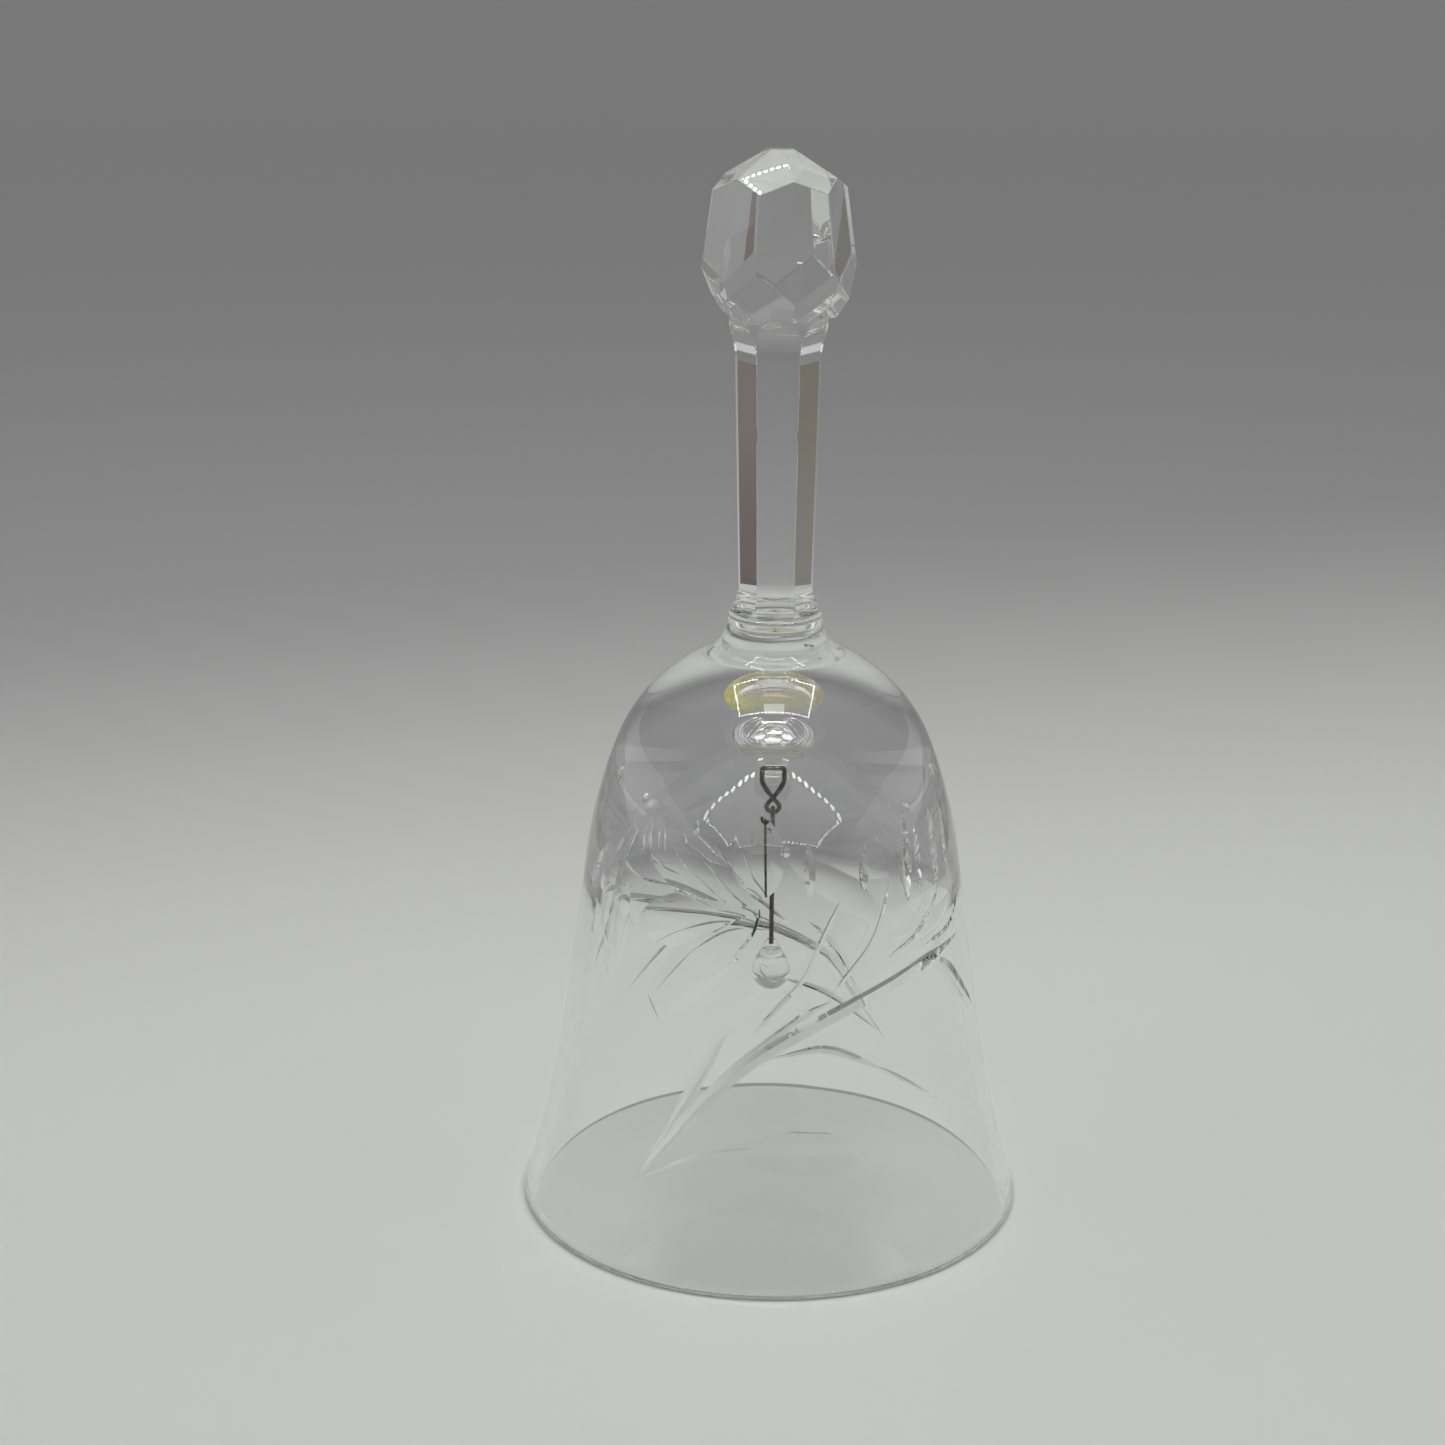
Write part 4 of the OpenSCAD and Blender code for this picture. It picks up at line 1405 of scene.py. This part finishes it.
class BELL_OT_stage(bpy.types.Operator):
    """Set up the floor, the light and the camera"""

    bl_idname = "bell.stage"
    bl_label = "Stage"

    def execute(self, context):
        s = sizes("bell_stage")
        self.floor(context, s)
        self.lights(context, s)
        self.cards(context, s)
        self.world(context)
        self.camera(context, s)
        context.scene.view_settings.view_transform = "Standard"
        cycles = context.scene.cycles
        cycles.max_bounces = GLASS_BOUNCES
        cycles.transmission_bounces = GLASS_BOUNCES
        cycles.glossy_bounces = GLASS_BOUNCES
        cycles.transparent_max_bounces = CLEAR_BOUNCES
        cycles.blur_glossy = 0
        return {"FINISHED"}

    def stand(self, context, mesh, material):
        """A stage object with one material."""
        mesh.materials.append(material)
        piece = bpy.data.objects.new(mesh.name, mesh)
        context.scene.collection.objects.link(piece)
        return piece

    def floor(self, context, s):
        """A wide pale floor with painted shade: it turns grey behind the bell, sooner on the left, where the
        light falls off.
        """
        bm = bmesh.new()
        bmesh.ops.create_circle(bm, cap_ends=True, segments=DISC_ROUND, radius=FLOOR_RADIUS)
        material, shader, tree = material_base("Floor")
        _, axes = coordinates(tree)
        away = computed(tree, "MULTIPLY_ADD", axes["X"], -SHADE_SLANT, axes["Y"])
        # Painted shade: the floor's colour turns grey with distance behind the bell, where the light falls
        # off.
        painted_shade = remap(tree, away, s.pale_reach * MM, s.grey_reach * MM, smooth=True)
        surface = {
            "Base Color": mixed(tree, painted_shade, (*s.floor, 1), (*s.backdrop, 1)),
            "Roughness": 0.8,
            "Specular IOR Level": 0.1,
        }
        feed(shader, surface)
        self.stand(context, new_mesh(bm, "floor"), material)

    def lights(self, context, s):
        """A frame of small lights overhead and a soft panel above it."""
        bm = bmesh.new()
        across, back, height = s.light_width * MM / 2, s.light_depth * MM / 2, s.light_height * MM
        corners = [Vector((x * across, y * back, height)) for x, y in ((-1, -1), (1, -1), (1, 1), (-1, 1))]
        for start, end in zip(corners, corners[1:] + corners[:1]):
            count = round((end - start).length / (s.light_pitch * MM))
            for i in range(count):
                spot = Matrix.Translation(start.lerp(end, i / count))
                bmesh.ops.create_circle(
                    bm, cap_ends=True, segments=10, radius=s.light_radius * MM, matrix=spot
                )
        self.glow(context, new_mesh(bm, "light_frame"), WHITE, WHITE, s.light_strength)
        lamp = bpy.data.lights.new("soft_panel", "AREA")
        lamp.shape = "SQUARE"
        lamp.size = s.panel_size * MM
        lamp.energy = s.panel_power
        panel = bpy.data.objects.new("soft_panel", lamp)
        panel.location = (0, 0, (s.light_height + s.panel_lift) * MM)
        context.scene.collection.objects.link(panel)

    def cards(self, context, s):
        """Plain cards beside the view and overhead that only the glass shows."""
        for name, middle, size, near, far in CARDS:
            turn = Matrix.Rotation(math.copysign(CARD_TURN, -middle[0]), 4, "Z")
            self.card(context, name, Matrix.Translation(middle) @ turn, size, near, far)
        for name, lift, size, grey in CEILING:
            above = Matrix.Translation((0, 0, (s.light_height + lift) * MM))
            card = self.card(context, name, above, size, (grey,) * 3, (grey,) * 3)
            self.clear_to_floor(card.data.materials[0])

    def card(self, context, name, place, size, near, far):
        """A glowing card that casts no shadow and is hidden from the camera and the floor."""
        bm = bmesh.new()
        bmesh.ops.create_grid(bm, x_segments=1, y_segments=1, size=0.5)
        bmesh.ops.transform(bm, matrix=place @ Matrix.Diagonal((*size, 1, 1)), verts=bm.verts)
        card = self.glow(context, new_mesh(bm, name), near, far, 1)
        card.visible_camera = False
        card.visible_diffuse = False
        card.visible_shadow = False
        return card

    def clear_to_floor(self, material):
        """Lets the floor's light pass a glowing card, so that only the glass shows it."""
        tree = material.node_tree
        shaders = {
            "Fac": add(tree, "LightPath")["Diffuse Depth"],
            1: tree.nodes["Emission"].outputs["Emission"],
            2: add(tree, "BsdfTransparent")["BSDF"],
        }
        feed(tree.nodes["Material Output"], {"Surface": add(tree, "MixShader", shaders)["Shader"]})

    def glow(self, context, mesh, near, far, strength):
        """A stage object that glows, with one colour near the camera and one far from it."""
        material, shader, tree = material_base(mesh.name)
        tree.nodes.remove(shader)
        _, axes = coordinates(tree)
        tint = mixed(tree, remap(tree, axes["Y"], CARD_NEAR, CARD_FAR), (*near, 1), (*far, 1))
        light = add(tree, "Emission", {"Color": tint, "Strength": strength})
        feed(tree.nodes["Material Output"], {"Surface": light["Emission"]})
        return self.stand(context, mesh, material)

    def world(self, context):
        """Soft surround, pale overhead and at the sides, grey behind and darker in front."""
        world = bpy.data.worlds.new("Surround")
        world.use_nodes = True
        context.scene.world = world
        tree = world.node_tree
        _, axes = coordinates(tree, "Generated")
        overhead = remap(tree, axes["Z"], 0.75, 0.97, smooth=True)
        aside = computed(tree, "ABSOLUTE", axes["X"])
        sides = remap(tree, aside, 0.5, 0.8, 0, SIDE_SHARE, smooth=True)
        pale = computed(tree, "MAXIMUM", overhead, sides)
        behind = remap(tree, axes["Z"], 0, 0.2, HORIZON, BEHIND)
        level = mixed(tree, pale, behind, (*WHITE, 1))
        front = remap(tree, axes["Y"], -0.5, -0.8, smooth=True)
        feed(tree.nodes["Background"], {"Color": mixed(tree, front, level, (*IN_FRONT, 1))})

    def camera(self, context, s):
        """The photograph's view."""
        upright = Vector((0, 0, 1))
        ahead = Vector((math.sin(s.pan), math.cos(s.pan), 0))
        right = Vector((math.cos(s.pan), -math.sin(s.pan), 0))
        forward = math.cos(s.tilt) * ahead - math.sin(s.tilt) * upright
        up = math.sin(s.tilt) * ahead + math.cos(s.tilt) * upright
        level = Matrix((right, up, -forward)).transposed()
        lens = bpy.data.cameras.new("camera")
        lens.lens = s.lens
        lens.sensor_width = SENSOR
        camera = bpy.data.objects.new("camera", lens)
        camera.location = (0, -s.camera_back * MM, s.camera_height * MM)
        camera.rotation_euler = (level @ Matrix.Rotation(s.roll, 3, "Z")).to_euler()
        context.scene.collection.objects.link(camera)
        context.scene.camera = camera


# Panel and registration


class BELL_PT_panel(bpy.types.Panel):
    """Lists the bell's pieces and their sizes"""

    bl_idname = "BELL_PT_panel"
    bl_label = "Cut-glass bell"
    bl_space_type = "VIEW_3D"
    bl_region_type = "UI"
    bl_category = "Bell"

    def draw(self, context):
        """Buttons for the pieces, then a box of values for each group."""
        for operator in OPERATORS:
            self.layout.operator(operator.bl_idname)
        for name, group in GROUPS.items():
            box = self.layout.box()
            box.label(text=group.__doc__)
            for value in group.__annotations__:
                box.prop(getattr(context.scene, name), value)


OPERATORS = [
    BELL_OT_bowl,
    BELL_OT_collar,
    BELL_OT_handle,
    BELL_OT_adhesive,
    BELL_OT_button,
    BELL_OT_wires,
    BELL_OT_drop,
    BELL_OT_stage,
]


def register():
    """Registers the groups of values, the operators and the panel."""
    for group in GROUPS.values():
        bpy.utils.register_class(group)
    for name, group in GROUPS.items():
        setattr(bpy.types.Scene, name, PointerProperty(type=group))
    for operator in OPERATORS:
        bpy.utils.register_class(operator)
    bpy.utils.register_class(BELL_PT_panel)


def unregister():
    """Takes back what register() did, in reverse."""
    bpy.utils.unregister_class(BELL_PT_panel)
    for operator in reversed(OPERATORS):
        bpy.utils.unregister_class(operator)
    for name in GROUPS:
        delattr(bpy.types.Scene, name)
    for group in reversed(list(GROUPS.values())):
        bpy.utils.unregister_class(group)


def main():
    """Registers the add-on, then builds every piece and the stage."""
    register()
    for operator in OPERATORS:
        group, _, name = operator.bl_idname.partition(".")
        getattr(getattr(bpy.ops, group), name)()


if __name__ == "__main__":
    main()
